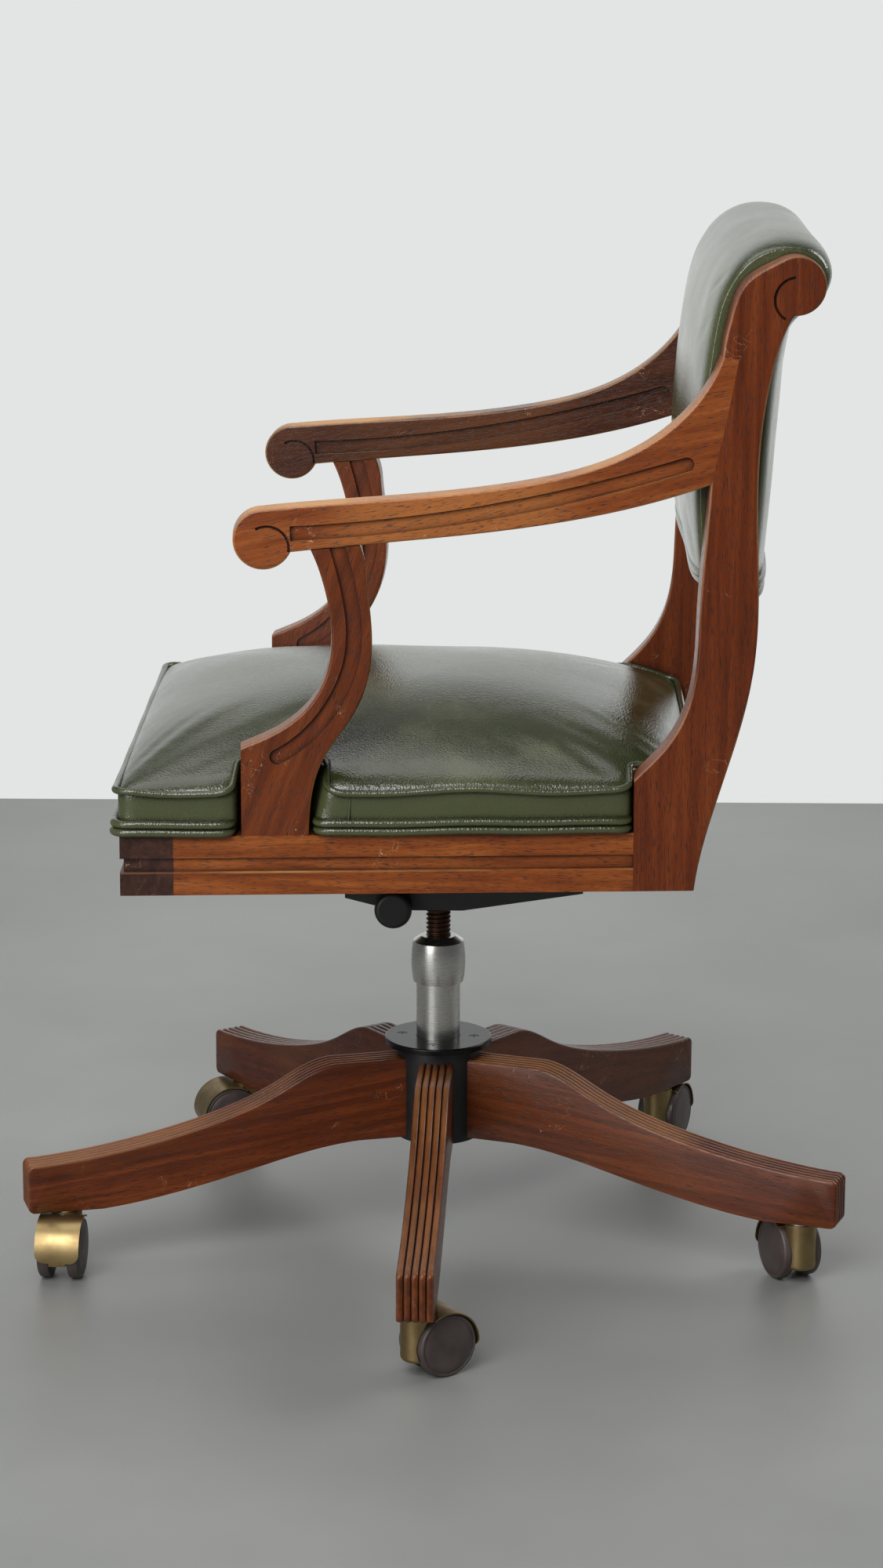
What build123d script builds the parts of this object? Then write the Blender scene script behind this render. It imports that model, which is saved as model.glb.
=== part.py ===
from build123d import *
import os
from math import cos, radians, sin, tan

# A wooden swivel desk armchair on a five-legged base.
# Millimetres. Origin on the floor under the column, +Z up, the chair faces -Y.
# The two sides of the chair are called east (+X) and west (-X).

# Clearances
running_clearance = 0.05
seat_clearance = 0.3
fit_clearance = 0.1

# Castors
wheel_diameter = 54.0
wheel_width = 11.5
wheel_rounding = 2.5
wheel_cheek = 3.0
web_width = 15.0
wheel_side_gap = 0.6
hood_gap = 0.8
hood_wall = 1.2
stem_housing_diameter = 28.0
stem_housing_foot = 14.0
stem_housing_rounding = 4.0
band_front = 14.5
band_foot = 21.0
band_corner = 9.0
castor_trail = 20.0
stem_diameter = 11.0
stem_grip = 24.0
axle_diameter = 8.0
axle_boss_radius = 9.0
castor_gap = 0.3
socket_rim_diameter = 26.0
socket_rim_height = 1.5
socket_diameter = 16.0
socket_depth = 32.0
castor_headings = [123.5, 203.0, 157.0, 290.0, -5.0]

# Legs
leg_count = 5
first_leg_angle = -2.0
leg_reach = 377.0
leg_width = 31.0
leg_tip_height = 44.0
leg_root_height = 72.5
leg_root_lift = 43.5
leg_flat_length = 62.0
leg_foot_flat = 66.0
castor_inset = 36.0
reed_count = 5
reed_groove_depth = 1.8
reed_groove_width = 2.2
leg_tip_rounding = 6.0
leg_bolt_diameter = 8.0
leg_bolt_head_diameter = 13.0
leg_bolt_head_height = 5.0
leg_bolt_length = 46.0
leg_bolt_inset = 24.0

# Hub and column
hub_diameter = 74.4
hub_wall = 9.2
hub_floor = 6.0
hub_below_legs = 3.0
hub_above_legs = 10.5
flange_diameter = 96.0
flange_thickness = 5.5
flange_rounding = 1.5
flange_screw_count = 4
flange_screw_angle = -7.0
flange_screw_diameter = 5.0
flange_screw_head_diameter = 9.0
flange_screw_length = 18.0
column_diameter = 39.2
column_bore = 30.0
column_rise = 66.5
bush_height = 9.0
thrust_washer_thickness = 4.0

# Height screw
nut_skirt_depth = 15.0
nut_height = 42.0
nut_foot_diameter = 45.0
nut_waist_diameter = 48.6
nut_top_diameter = 31.0
nut_cone_height = 5.0
spindle_diameter = 22.0
thread_pitch = 4.0
thread_depth = 1.6
spindle_exposed = 33.0
spindle_tail = 128.0
spindle_grip = 20.0
spindle_stop_height = 10.0

# Tilt mechanism
head_width = 71.0
head_length = 44.0
head_height = 52.0
tilt_pin_rise = 36.0
tilt_pin_diameter = 16.0
cheek_thickness = 4.0
cheek_gap = 0.5
housing_front = 82.0
housing_rear = 128.0
housing_wing = 34.0
housing_plate_thickness = 4.0
housing_nose_rise = 11.0
housing_tail_rise = 16.0
tension_axis_forward = 39.0
tension_axis_rise = 5.0
tension_tube_diameter = 24.0
tension_shaft_diameter = 10.0
tension_knob_diameter = 33.0
tension_knob_length = 22.0
housing_screw_diameter = 5.0
housing_screw_head_diameter = 10.0
housing_screw_head_height = 3.0
housing_screw_length = 22.0
mechanism_depth = 66.0

# Seat frame
side_offset = 243.3
side_splay = 3.326
board = 26.0
rail_height = 50.0
rail_fillet_rise = 20.0
rail_fillet_height = 11.5
rail_fillet_depth = 3.0
seat_front = 259.0
front_rail_depth = 44.0
post_foot_front = 165.0
post_foot_rear = 216.0
back_rail_depth = 24.0
back_rail_inset = 12.0
seat_board_thickness = 12.0
corner_block_leg = 50.0
corner_block_height = 34.0
batten_width = 42.0
front_batten_place = -62.0
rear_batten_place = 100.0

# Side frame outlines: heights above the top of the seat rail, depths behind the column
arm_scroll_depth = -139.5
arm_scroll_height = 247.0
arm_scroll_radius = 24.5
arm_joint_top = (232.0, 394.0)
arm_joint_shoulder = (245.0, 392.0)
arm_joint_bottom = (224.0, 290.0)
post_scroll_depth = 291.0
post_scroll_height = 451.0
post_scroll_radius = 24.0
support_foot_front = -159.0
support_foot_rear = -103.0
groove_depth = 3.5
arm_groove_width = 12.5
support_groove_width = 13.0
scroll_groove_width = 2.2
scroll_groove_radius = 18.0
edge_rounding = 2.0

# Upholstery
cushion_rim_height = 37.0
cushion_crown = 52.0
cushion_end_crown = 4.0
cushion_overhang = 2.5
cushion_drawn_in = 3.0
cushion_front = 262.0
cushion_rear = 218.0
notch_room = 3.5
back_bottom = 205.0
crest_rail_diameter = 40.0
back_rail_height = 34.0
back_rail_thickness = 20.0

# Heights that follow from the sizes above
wheel_radius = wheel_diameter / 2
hood_radius = wheel_radius + hood_gap + hood_wall
hood_top = wheel_radius + hood_radius
hood_half_width = web_width / 2 + wheel_side_gap + wheel_width
leg_bottom = hood_top + castor_gap + socket_rim_height
leg_root_bottom = leg_bottom + leg_root_lift
leg_top = leg_root_bottom + leg_root_height
hub_bottom = leg_root_bottom - hub_below_legs
hub_top = leg_top + hub_above_legs
flange_top = hub_top + flange_thickness
column_bottom = hub_bottom + hub_floor + thrust_washer_thickness
column_top = flange_top + column_rise
nut_bottom = column_top - nut_skirt_depth
nut_top = nut_bottom + nut_height
head_bottom = nut_top + spindle_exposed
tilt_axis_height = head_bottom + tilt_pin_rise
housing_bottom = head_bottom
rail_bottom = housing_bottom + mechanism_depth + housing_plate_thickness
rail_top = rail_bottom + rail_height
castor_reach = leg_reach - castor_inset


def side_x(depth):
    """Distance of a side frame's outer face from the centre plane at one depth."""
    return side_offset - depth * tan(radians(side_splay))


def inner_x(depth):
    """Distance of a side frame's inner face from the centre plane at one depth."""
    return side_x(depth) - board / cos(radians(side_splay))


def rod(diameter, length, place, direction=(0, 0, 1)):
    """A plain round bar that starts at a place and runs in a direction."""
    start = Plane(origin=place, z_dir=direction)
    return extrude(start * Circle(diameter / 2), amount=length)


def tube(outer, inner, bottom, top):
    """A ring about the column axis between two heights."""
    return rod(outer, top - bottom, (0, 0, bottom)) - rod(inner, top - bottom, (0, 0, bottom))


def around(count, first_angle, piece):
    """Copies of a piece turned evenly about the column axis."""
    step = 360 / count
    return [Rot(0, 0, first_angle + step * i) * piece for i in range(count)]


def slab(points, bottom, top):
    """A prism on a plan outline between two heights."""
    outline = make_face(Polyline(*points, close=True))
    return Pos(0, 0, bottom) * extrude(outline, amount=top - bottom, dir=(0, 0, 1))


def block(x_range, y_range, z_range):
    """A plain rectangular block between limits."""
    sides = [(limits[1] - limits[0]) for limits in (x_range, y_range, z_range)]
    centre = [(limits[1] + limits[0]) / 2 for limits in (x_range, y_range, z_range)]
    return Pos(*centre) * Box(*sides)


# Castor pieces, drawn with the stem on the Z axis and the axle trailing towards +X


def castor_band():
    """The brass band over both wheels, rounded at its trailing corners."""
    width = 2 * hood_half_width
    height = 2 * hood_radius
    end = (castor_trail, -hood_half_width, wheel_radius)
    ring = rod(2 * hood_radius, width, end, (0, 1, 0))
    ring -= rod(2 * (wheel_radius + hood_gap), width, end, (0, 1, 0))
    rear_view = Plane.YZ * Pos(0, band_foot + height / 2) * RectangleRounded(width, height, band_corner)
    return ring & Pos(castor_trail - band_front, 0, 0) * extrude(rear_view, amount=band_front + hood_radius)


def castor_hood():
    """A brass hood: an upright housing round the stem, a web and a band over the wheels."""
    housing_height = hood_top - stem_housing_foot
    housing = rod(stem_housing_diameter, housing_height, (0, 0, stem_housing_foot))
    housing = fillet(housing.edges().group_by(Axis.Z)[0], stem_housing_rounding)
    axle = (castor_trail, -hood_half_width, wheel_radius)
    web = rod(2 * hood_radius, web_width, (castor_trail, -web_width / 2, wheel_radius), (0, 1, 0))
    web -= block(
        (-2 * hood_radius, 2 * castor_trail + 2 * hood_radius),
        (-web_width, web_width),
        (-wheel_radius, wheel_radius - axle_boss_radius),
    )
    body = housing + web
    for side in (-1, 1):
        inner_face = (castor_trail, side * web_width / 2, wheel_radius)
        body -= rod(2 * (wheel_radius + hood_gap), hood_half_width, inner_face, (0, side, 0))
    body += castor_band()
    stem_hole = rod(stem_diameter + fit_clearance, stem_grip, (0, 0, hood_top - stem_grip))
    axle_hole = rod(axle_diameter + fit_clearance, 2 * hood_half_width, axle, (0, 1, 0))
    return body - stem_hole - axle_hole


def castor_pins():
    """The stem that turns in the leg and the axle that carries both wheels."""
    stem_length = stem_grip + castor_gap + socket_rim_height + socket_depth - fit_clearance
    stem = rod(stem_diameter, stem_length, (0, 0, hood_top - stem_grip))
    half_axle = hood_half_width - wheel_cheek - fit_clearance
    axle = rod(axle_diameter, 2 * half_axle, (castor_trail, -half_axle, wheel_radius), (0, 1, 0))
    return [stem, axle]


def castor_wheel(side):
    """A solid wheel with a closed outer face and a blind bore for the axle."""
    inner = web_width / 2 + wheel_side_gap
    centre = (castor_trail, side * inner, wheel_radius)
    wheel = rod(wheel_diameter, wheel_width, centre, (0, side, 0))
    wheel = fillet(wheel.edges().filter_by(GeomType.CIRCLE), wheel_rounding)
    bore = rod(axle_diameter + 2 * running_clearance, wheel_width - wheel_cheek, centre, (0, side, 0))
    return wheel - bore


def leg_angle(index):
    """Heading of one leg about the column, measured from +X."""
    return first_leg_angle + 360 / leg_count * index


def castor_place(index):
    """Where one castor stands and how it is turned."""
    angle = radians(leg_angle(index))
    place = (castor_reach * cos(angle), castor_reach * sin(angle), 0)
    return Pos(*place) * Rot(0, 0, castor_headings[index])


# Base pieces, legs drawn along +X


def leg_outline():
    """Side view of a leg: level root, swept top, level foot over the castor."""
    root = hub_diameter / 4
    flat_end = hub_diameter / 2 + leg_flat_length
    foot_start = leg_reach - leg_foot_flat
    tip_top = leg_bottom + leg_tip_height
    drop = leg_top - tip_top
    sweep = leg_reach - 2 * leg_tip_rounding - flat_end
    lift = leg_root_bottom - leg_bottom
    belly = foot_start - flat_end
    top = Spline(
        (leg_reach - 2 * leg_tip_rounding, tip_top),
        (flat_end + 0.52 * sweep, tip_top + 0.27 * drop),
        (flat_end + 0.19 * sweep, tip_top + 0.70 * drop),
        (flat_end, leg_top),
        tangents=[(-1, 0.06), (-1, 0.12)],
    )
    under = Spline(
        (flat_end - leg_root_lift / 2, leg_root_bottom),
        (flat_end + 0.36 * belly, leg_bottom + 0.58 * lift),
        (foot_start, leg_bottom),
        tangents=[(1, -0.05), (1, -0.08)],
    )
    outline = Polyline(
        (flat_end, leg_top),
        (root, leg_top),
        (root, leg_root_bottom),
        (flat_end - leg_root_lift / 2, leg_root_bottom),
    )
    tip = FilletPolyline(
        (foot_start, leg_bottom),
        (leg_reach, leg_bottom),
        (leg_reach, tip_top),
        (leg_reach - 2 * leg_tip_rounding, tip_top),
        radius=leg_tip_rounding,
    )
    return make_face([*outline.edges(), *under.edges(), *tip.edges(), *top.edges()])


def leg_bolt_heights():
    """Heights of the two bolts that hold each leg to the hub."""
    return [leg_root_bottom + leg_bolt_inset, leg_top - leg_bolt_inset]


def leg():
    """A wooden leg with reeds along its top and over its tip."""
    outline = leg_outline()
    flat = Plane.XZ * outline
    body = extrude(flat, amount=leg_width / 2, both=True)
    reed = leg_width / reed_count
    for share in (0.2, 0.5, 1.0):
        depth = reed_groove_depth * share
        width = reed_groove_width * (1.2 - share)
        strip = Plane.XZ * (outline - Pos(-depth, -depth) * outline)
        groove = extrude(strip, amount=width, both=True)
        body -= [Pos(0, i * reed - leg_width / 2, 0) * groove for i in range(reed_count + 1)]
    body -= rod(hub_diameter + 2 * fit_clearance, 2 * leg_top, (0, 0, 0))
    socket_hole = rod(socket_diameter + 2 * fit_clearance, socket_depth, (castor_reach, 0, leg_bottom))
    body -= socket_hole
    reach = hub_diameter / 2 - hub_wall + leg_bolt_length
    for height in leg_bolt_heights():
        body -= rod(leg_bolt_diameter + fit_clearance, reach, (0, 0, height), (1, 0, 0))
    return body


def leg_bolts():
    """Two bolts through the hub wall into each leg."""
    bolts = []
    seat = hub_diameter / 2 - hub_wall - leg_bolt_head_height / 4
    for height in leg_bolt_heights():
        shank = rod(leg_bolt_diameter, leg_bolt_length, (seat, 0, height), (1, 0, 0))
        head_start = (seat - leg_bolt_head_height, 0, height)
        head = rod(leg_bolt_head_diameter, leg_bolt_head_height, head_start, (1, 0, 0))
        bolts += around(leg_count, first_leg_angle, shank + head)
    return bolts


def castor_sockets():
    """A rimmed metal sleeve in the foot of each leg."""
    sleeve = rod(socket_diameter, socket_depth, (castor_reach, 0, leg_bottom))
    rim = rod(socket_rim_diameter, socket_rim_height, (castor_reach, 0, leg_bottom - socket_rim_height))
    bore_length = socket_depth + socket_rim_height
    bore = rod(
        stem_diameter + 2 * running_clearance, bore_length, (castor_reach, 0, leg_bottom - socket_rim_height)
    )
    return around(leg_count, first_leg_angle, sleeve + rim - bore)


def flange_screw_place():
    """Radius of the screw circle, in the middle of the hub wall."""
    return hub_diameter / 2 - hub_wall / 2


def hub_tube():
    """The hub: a thick tube with a floor, drilled for the leg bolts and flange screws."""
    body = rod(hub_diameter, hub_top - hub_bottom, (0, 0, hub_bottom))
    body -= rod(hub_diameter - 2 * hub_wall, hub_top, (0, 0, hub_bottom + hub_floor))
    holes = []
    for height in leg_bolt_heights():
        hole = rod(leg_bolt_diameter + fit_clearance, hub_diameter, (0, 0, height), (1, 0, 0))
        holes += around(leg_count, first_leg_angle, hole)
    screw_place = (flange_screw_place(), 0, hub_top - flange_screw_length)
    pilot = rod(flange_screw_diameter + fit_clearance, flange_screw_length, screw_place)
    holes += around(flange_screw_count, flange_screw_angle, pilot)
    return body - holes


def hub_flange():
    """The round cover plate on the hub, with four screw holes."""
    body = rod(flange_diameter, flange_thickness, (0, 0, hub_top))
    body = fillet(body.edges().group_by(Axis.Z)[-1], flange_rounding)
    body -= rod(column_diameter + 2 * seat_clearance, flange_thickness, (0, 0, hub_top))
    screw_place = (flange_screw_place(), 0, hub_top)
    hole = rod(flange_screw_diameter + fit_clearance, flange_thickness, screw_place)
    sink = rod(
        flange_screw_head_diameter + fit_clearance,
        flange_thickness / 2,
        (flange_screw_place(), 0, flange_top - flange_thickness / 2),
    )
    return body - around(flange_screw_count, flange_screw_angle, hole + sink)


def flange_screws():
    """Sunk socket-head screws that hold the flange to the hub."""
    under_head = flange_top - flange_thickness / 2
    length = flange_screw_length + flange_thickness / 2
    head_height = flange_thickness / 2 - seat_clearance
    head = rod(flange_screw_head_diameter, head_height, (flange_screw_place(), 0, under_head))
    socket = rod(
        flange_screw_diameter / 2, head_height / 2, (flange_screw_place(), 0, under_head + head_height / 2)
    )
    shank = rod(flange_screw_diameter, length, (flange_screw_place(), 0, under_head - length))
    return around(flange_screw_count, flange_screw_angle, head + shank - socket)


def column_bushes():
    """Two plain bearings in the hub that the column turns in."""
    outer = hub_diameter - 2 * hub_wall - fit_clearance
    inner = column_diameter + 2 * running_clearance
    lower = column_bottom
    upper = hub_top - bush_height
    return [tube(outer, inner, start, start + bush_height) for start in (lower, upper)]


def thrust_washer():
    """The washer on the hub floor that the column stands on."""
    bottom = hub_bottom + hub_floor
    outer = hub_diameter - 2 * hub_wall - fit_clearance
    return tube(outer, spindle_diameter, bottom, column_bottom)


def column_tube():
    """The bright steel column."""
    return tube(column_diameter, column_bore, column_bottom, column_top)


# Height screw


def nut_collar():
    """The barrel-shaped height nut on the column, with a chamfered top."""
    shoulder = nut_top - nut_cone_height
    outline = [
        Line((0, nut_bottom), (nut_foot_diameter / 2, nut_bottom)),
        ThreePointArc(
            (nut_foot_diameter / 2, nut_bottom),
            (nut_waist_diameter / 2, (nut_bottom + shoulder) / 2),
            (nut_foot_diameter / 2, shoulder),
        ),
        Line((nut_foot_diameter / 2, shoulder), (nut_top_diameter / 2, nut_top)),
        Line((nut_top_diameter / 2, nut_top), (0, nut_top)),
        Line((0, nut_top), (0, nut_bottom)),
    ]
    body = revolve(Plane.XZ * make_face(outline), Axis.Z)
    body -= rod(column_diameter + 2 * running_clearance, nut_skirt_depth, (0, 0, nut_bottom))
    return body - rod(spindle_diameter + 2 * fit_clearance, nut_height, (0, 0, nut_bottom))


def spindle():
    """The lifting screw, its thread drawn as even ridges, with a plain tail."""
    tail = head_bottom - spindle_exposed - spindle_tail
    thread_start = tail + spindle_stop_height
    thread_count = int((head_bottom - thread_start) / thread_pitch)
    crest = spindle_diameter / 2
    root = crest - thread_depth
    points = [(0, tail), (root, tail), (root, thread_start)]
    for i in range(thread_count):
        ridge = thread_start + i * thread_pitch
        points += [
            (root, ridge + 0.15 * thread_pitch),
            (crest, ridge + 0.45 * thread_pitch),
            (crest, ridge + 0.60 * thread_pitch),
            (root, ridge + 0.90 * thread_pitch),
        ]
    top = head_bottom + spindle_grip
    points += [(root, top), (0, top)]
    return revolve(Plane.XZ * make_face(Polyline(*points, close=True)), Axis.Z)


def spindle_stop():
    """A guide ring on the spindle's tail that runs in the column's bore."""
    tail = head_bottom - spindle_exposed - spindle_tail
    inner = spindle_diameter - 2 * thread_depth + fit_clearance
    return tube(column_bore - 2 * running_clearance, inner, tail, tail + spindle_stop_height)


def spindle_head():
    """The cast block on top of the spindle that carries the tilt pin."""
    body = block(
        (-head_width / 2, head_width / 2),
        (-head_length / 2, head_length / 2),
        (head_bottom, head_bottom + head_height),
    )
    body = chamfer(body.edges().filter_by(Axis.X).group_by(Axis.Z)[-1], head_length / 4)
    grip = spindle_diameter - 2 * thread_depth + fit_clearance
    body -= rod(grip, spindle_grip, (0, 0, head_bottom))
    pin_start = (-head_width, 0, tilt_axis_height)
    return body - rod(tilt_pin_diameter + fit_clearance, 2 * head_width, pin_start, (1, 0, 0))


def cheek_face():
    """Half the distance between the housing's cheeks, inside."""
    return head_width / 2 + cheek_gap


def tilt_pin():
    """The cross pin that the seat tilts on."""
    half = cheek_face() + cheek_thickness + cheek_gap
    return rod(tilt_pin_diameter, 2 * half, (-half, 0, tilt_axis_height), (1, 0, 0))


def tension_axis():
    """Depth and height of the tension knob's axis."""
    return (-tension_axis_forward, housing_bottom + tension_axis_rise)


def cheek_outline():
    """Side view of a housing cheek: sloping nose and tail, with an ear for the tension shaft."""
    outline = make_face(
        Polyline(
            (-housing_front, rail_bottom),
            (-housing_front, housing_bottom + housing_nose_rise),
            (-tension_axis_forward, housing_bottom),
            (head_length / 2, housing_bottom),
            (housing_rear, housing_bottom + housing_tail_rise),
            (housing_rear, rail_bottom),
            close=True,
        )
    )
    return outline + Pos(*tension_axis()) * Circle(tension_tube_diameter / 2 + cheek_thickness)


def housing_screw_places():
    """Where the housing is screwed to the two battens."""
    reach = cheek_face() + cheek_thickness + housing_wing / 2
    places = (front_batten_place, rear_batten_place)
    return [(side * reach, place) for side in (-1, 1) for place in places]


def tilt_housing():
    """The pressed housing under the seat: a top plate and two hanging cheeks."""
    half = cheek_face() + cheek_thickness + housing_wing
    plate_under = rail_bottom - housing_plate_thickness
    plate = block((-half, half), (-housing_front, housing_rear), (plate_under, rail_bottom))
    cheek = extrude(Plane.YZ * cheek_outline(), amount=cheek_thickness)
    body = plate + Pos(cheek_face(), 0, 0) * cheek + Pos(-cheek_face() - cheek_thickness, 0, 0) * cheek
    span = 2 * half
    pin_hole = rod(tilt_pin_diameter + 2 * running_clearance, span, (-half, 0, tilt_axis_height), (1, 0, 0))
    shaft_bore = tension_shaft_diameter + 2 * running_clearance
    shaft_hole = rod(shaft_bore, span, (-half, *tension_axis()), (1, 0, 0))
    body = body - pin_hole - shaft_hole
    for x, y in housing_screw_places():
        body -= rod(housing_screw_diameter + fit_clearance, housing_plate_thickness, (x, y, plate_under))
    return body


def housing_screws():
    """Round-head screws up through the housing plate into the battens."""
    screws = []
    plate_under = rail_bottom - housing_plate_thickness
    head_under = plate_under - housing_screw_head_height
    for x, y in housing_screw_places():
        head = rod(housing_screw_head_diameter, housing_screw_head_height, (x, y, head_under))
        shank = rod(housing_screw_diameter, housing_screw_length, (x, y, plate_under))
        screws.append(head + shank)
    return screws


def tension_tube():
    """The spring tube between the cheeks, in front of the spindle."""
    half = cheek_face()
    start = (-half, *tension_axis())
    outer = rod(tension_tube_diameter, 2 * half, start, (1, 0, 0))
    return outer - rod(tension_shaft_diameter + 2 * running_clearance, 2 * half, start, (1, 0, 0))


def tension_knob():
    """The round hand knob on its shaft through the spring tube."""
    face = cheek_face() + cheek_thickness + cheek_gap
    knob = rod(tension_knob_diameter, tension_knob_length, (face, *tension_axis()), (1, 0, 0))
    knob = fillet(knob.edges().filter_by(GeomType.CIRCLE).group_by(Axis.X)[-1], tension_knob_length / 5)
    shaft = rod(tension_shaft_diameter, 2 * face, (-face, *tension_axis()), (1, 0, 0))
    return knob + shaft


# Side frame pieces, drawn on the east side's outer face and then splayed


def on_side(piece):
    """Moves a piece drawn on the YZ plane to the east side of the chair."""
    return Pos(side_offset, 0, 0) * Rot(0, 0, side_splay) * piece


def across(piece):
    """The same piece on the west side."""
    return mirror(piece, about=Plane.YZ)


def side_board(outline):
    """A flat board on a side outline whose heights count from the top of the rail."""
    return extrude(Plane.YZ * Pos(0, rail_top) * outline, amount=-board)


def softened(piece, wanted):
    """Rounds those edges of a side board's two faces whose middle is wanted."""
    edges = [edge for edge in piece.edges() if edge.bounding_box().size.X < fit_clearance]
    return fillet([edge for edge in edges if wanted(edge.center())], edge_rounding)


def carve(piece, outline):
    """Cuts a shallow channel into both faces of a side board."""
    for start in (0, groove_depth - board):
        piece -= Pos(start, 0, 0) * extrude(Plane.YZ * Pos(0, rail_top) * outline, amount=-groove_depth)
    return piece


def scroll_groove(depth, height, first_angle, turn):
    """The curved line that marks a scroll's eye."""
    line = CenterArc((depth, height), scroll_groove_radius, first_angle, turn)
    return trace(line, scroll_groove_width)


def arm_joint():
    """The line where the arm meets the post, from its top to its bottom."""
    depth = (arm_joint_shoulder[0] + arm_joint_bottom[0]) / 2 + 1
    height = (arm_joint_shoulder[1] + arm_joint_bottom[1]) / 2
    return Spline(arm_joint_shoulder, (depth, height), arm_joint_bottom)


def on_arm_scroll(angle):
    """A point on the rim of the arm's scroll."""
    turned = radians(angle)
    return (
        arm_scroll_depth + arm_scroll_radius * cos(turned),
        arm_scroll_height + arm_scroll_radius * sin(turned),
    )


def on_post_scroll(angle):
    """A point on the rim of the post's scroll."""
    turned = radians(angle)
    return (
        post_scroll_depth + post_scroll_radius * cos(turned),
        post_scroll_height + post_scroll_radius * sin(turned),
    )


def arm_outline():
    """Side view of an arm: a scroll in front, a rising sweep to the post behind."""
    top_start = on_arm_scroll(90)
    bottom_start = on_arm_scroll(-25)
    lower_left = on_arm_scroll(-115)
    rise = arm_joint_top[1] - top_start[1]
    run = arm_joint_top[0] - top_start[0]
    fall = arm_joint_bottom[1] - bottom_start[1]
    span = arm_joint_bottom[0] - bottom_start[0]
    top = Spline(
        top_start,
        (top_start[0] + 0.17 * run, top_start[1] + 0.043 * rise),
        (top_start[0] + 0.58 * run, top_start[1] + 0.165 * rise),
        (top_start[0] + 0.815 * run, top_start[1] + 0.38 * rise),
        (top_start[0] + 0.94 * run, top_start[1] + 0.68 * rise),
        arm_joint_top,
    )
    bottom = Spline(
        arm_joint_bottom,
        (bottom_start[0] + 0.71 * span, bottom_start[1] + 0.51 * fall),
        (bottom_start[0] + 0.37 * span, bottom_start[1] + 0.22 * fall),
        bottom_start,
    )
    front = ThreePointArc(top_start, on_arm_scroll(180), lower_left)
    under = ThreePointArc(lower_left, on_arm_scroll(-70), bottom_start)
    shoulder = Line(arm_joint_top, arm_joint_shoulder)
    return make_face([*top.edges(), shoulder, *arm_joint().edges(), *bottom.edges(), under, front])


def arm():
    """A carved arm with a channel along each face and a marked scroll."""
    body = softened(side_board(arm_outline()), lambda middle: middle.Y < arm_joint_bottom[0])
    start = (arm_scroll_depth + 0.9 * arm_scroll_radius, arm_scroll_height + 0.2 * arm_scroll_radius)
    end = (arm_joint_bottom[0] - 1.6 * arm_groove_width, arm_joint_bottom[1] + 1.35 * arm_groove_width)
    middle = (start[0] + 0.55 * (end[0] - start[0]), start[1] + 0.36 * (end[1] - start[1]))
    channel = trace(Spline(start, middle, end), arm_groove_width) + Pos(*end) * Circle(arm_groove_width / 2)
    body = carve(body, channel)
    return carve(body, scroll_groove(arm_scroll_depth + 3, arm_scroll_height - 7, -10, 130))


def support_outline():
    """Side view of an arm support: a square foot that sweeps back and up to the arm."""
    top = arm_scroll_height
    front = Spline(
        (support_foot_front, 0.30 * top),
        (support_foot_front + 38, 0.375 * top),
        (support_foot_front + 63, 0.48 * top),
        (support_foot_front + 75, 0.66 * top),
        (support_foot_front + 67, 0.87 * top),
        (support_foot_front + 54, top),
        tangents=[(1, 0.42), (-0.5, 1)],
    )
    rear = Spline(
        (support_foot_rear, 0),
        (support_foot_rear + 12, 0.26 * top),
        (support_foot_rear + 38, 0.42 * top),
        (support_foot_rear + 52, 0.65 * top),
        (support_foot_rear + 47, 0.89 * top),
        (support_foot_rear + 40, top),
        tangents=[(0, 1), (-0.5, 1)],
    )
    edges = [
        Line((support_foot_front, 0), (support_foot_rear, 0)),
        *rear.edges(),
        Line((support_foot_rear + 40, top), (support_foot_front + 54, top)),
        *front.edges(),
        Line((support_foot_front, 0.30 * top), (support_foot_front, 0)),
    ]
    return make_face(edges)


def arm_support():
    """A carved arm support, cut off under the arm."""
    top = arm_scroll_height
    body = side_board(support_outline())
    body = softened(body, lambda middle: rail_top + 0.3 * top < middle.Z < rail_top + top)
    start = (support_foot_front + 30, 0.27 * top)
    line = Spline(
        start,
        (support_foot_front + 65, 0.385 * top),
        (support_foot_front + 92, 0.62 * top),
        (support_foot_front + 88, 0.85 * top),
        (support_foot_front + 78, top),
    )
    channel = trace(line, support_groove_width) + Pos(*start) * Circle(support_groove_width / 2)
    body = carve(body, channel)
    return body - side_board(arm_outline())


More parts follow.
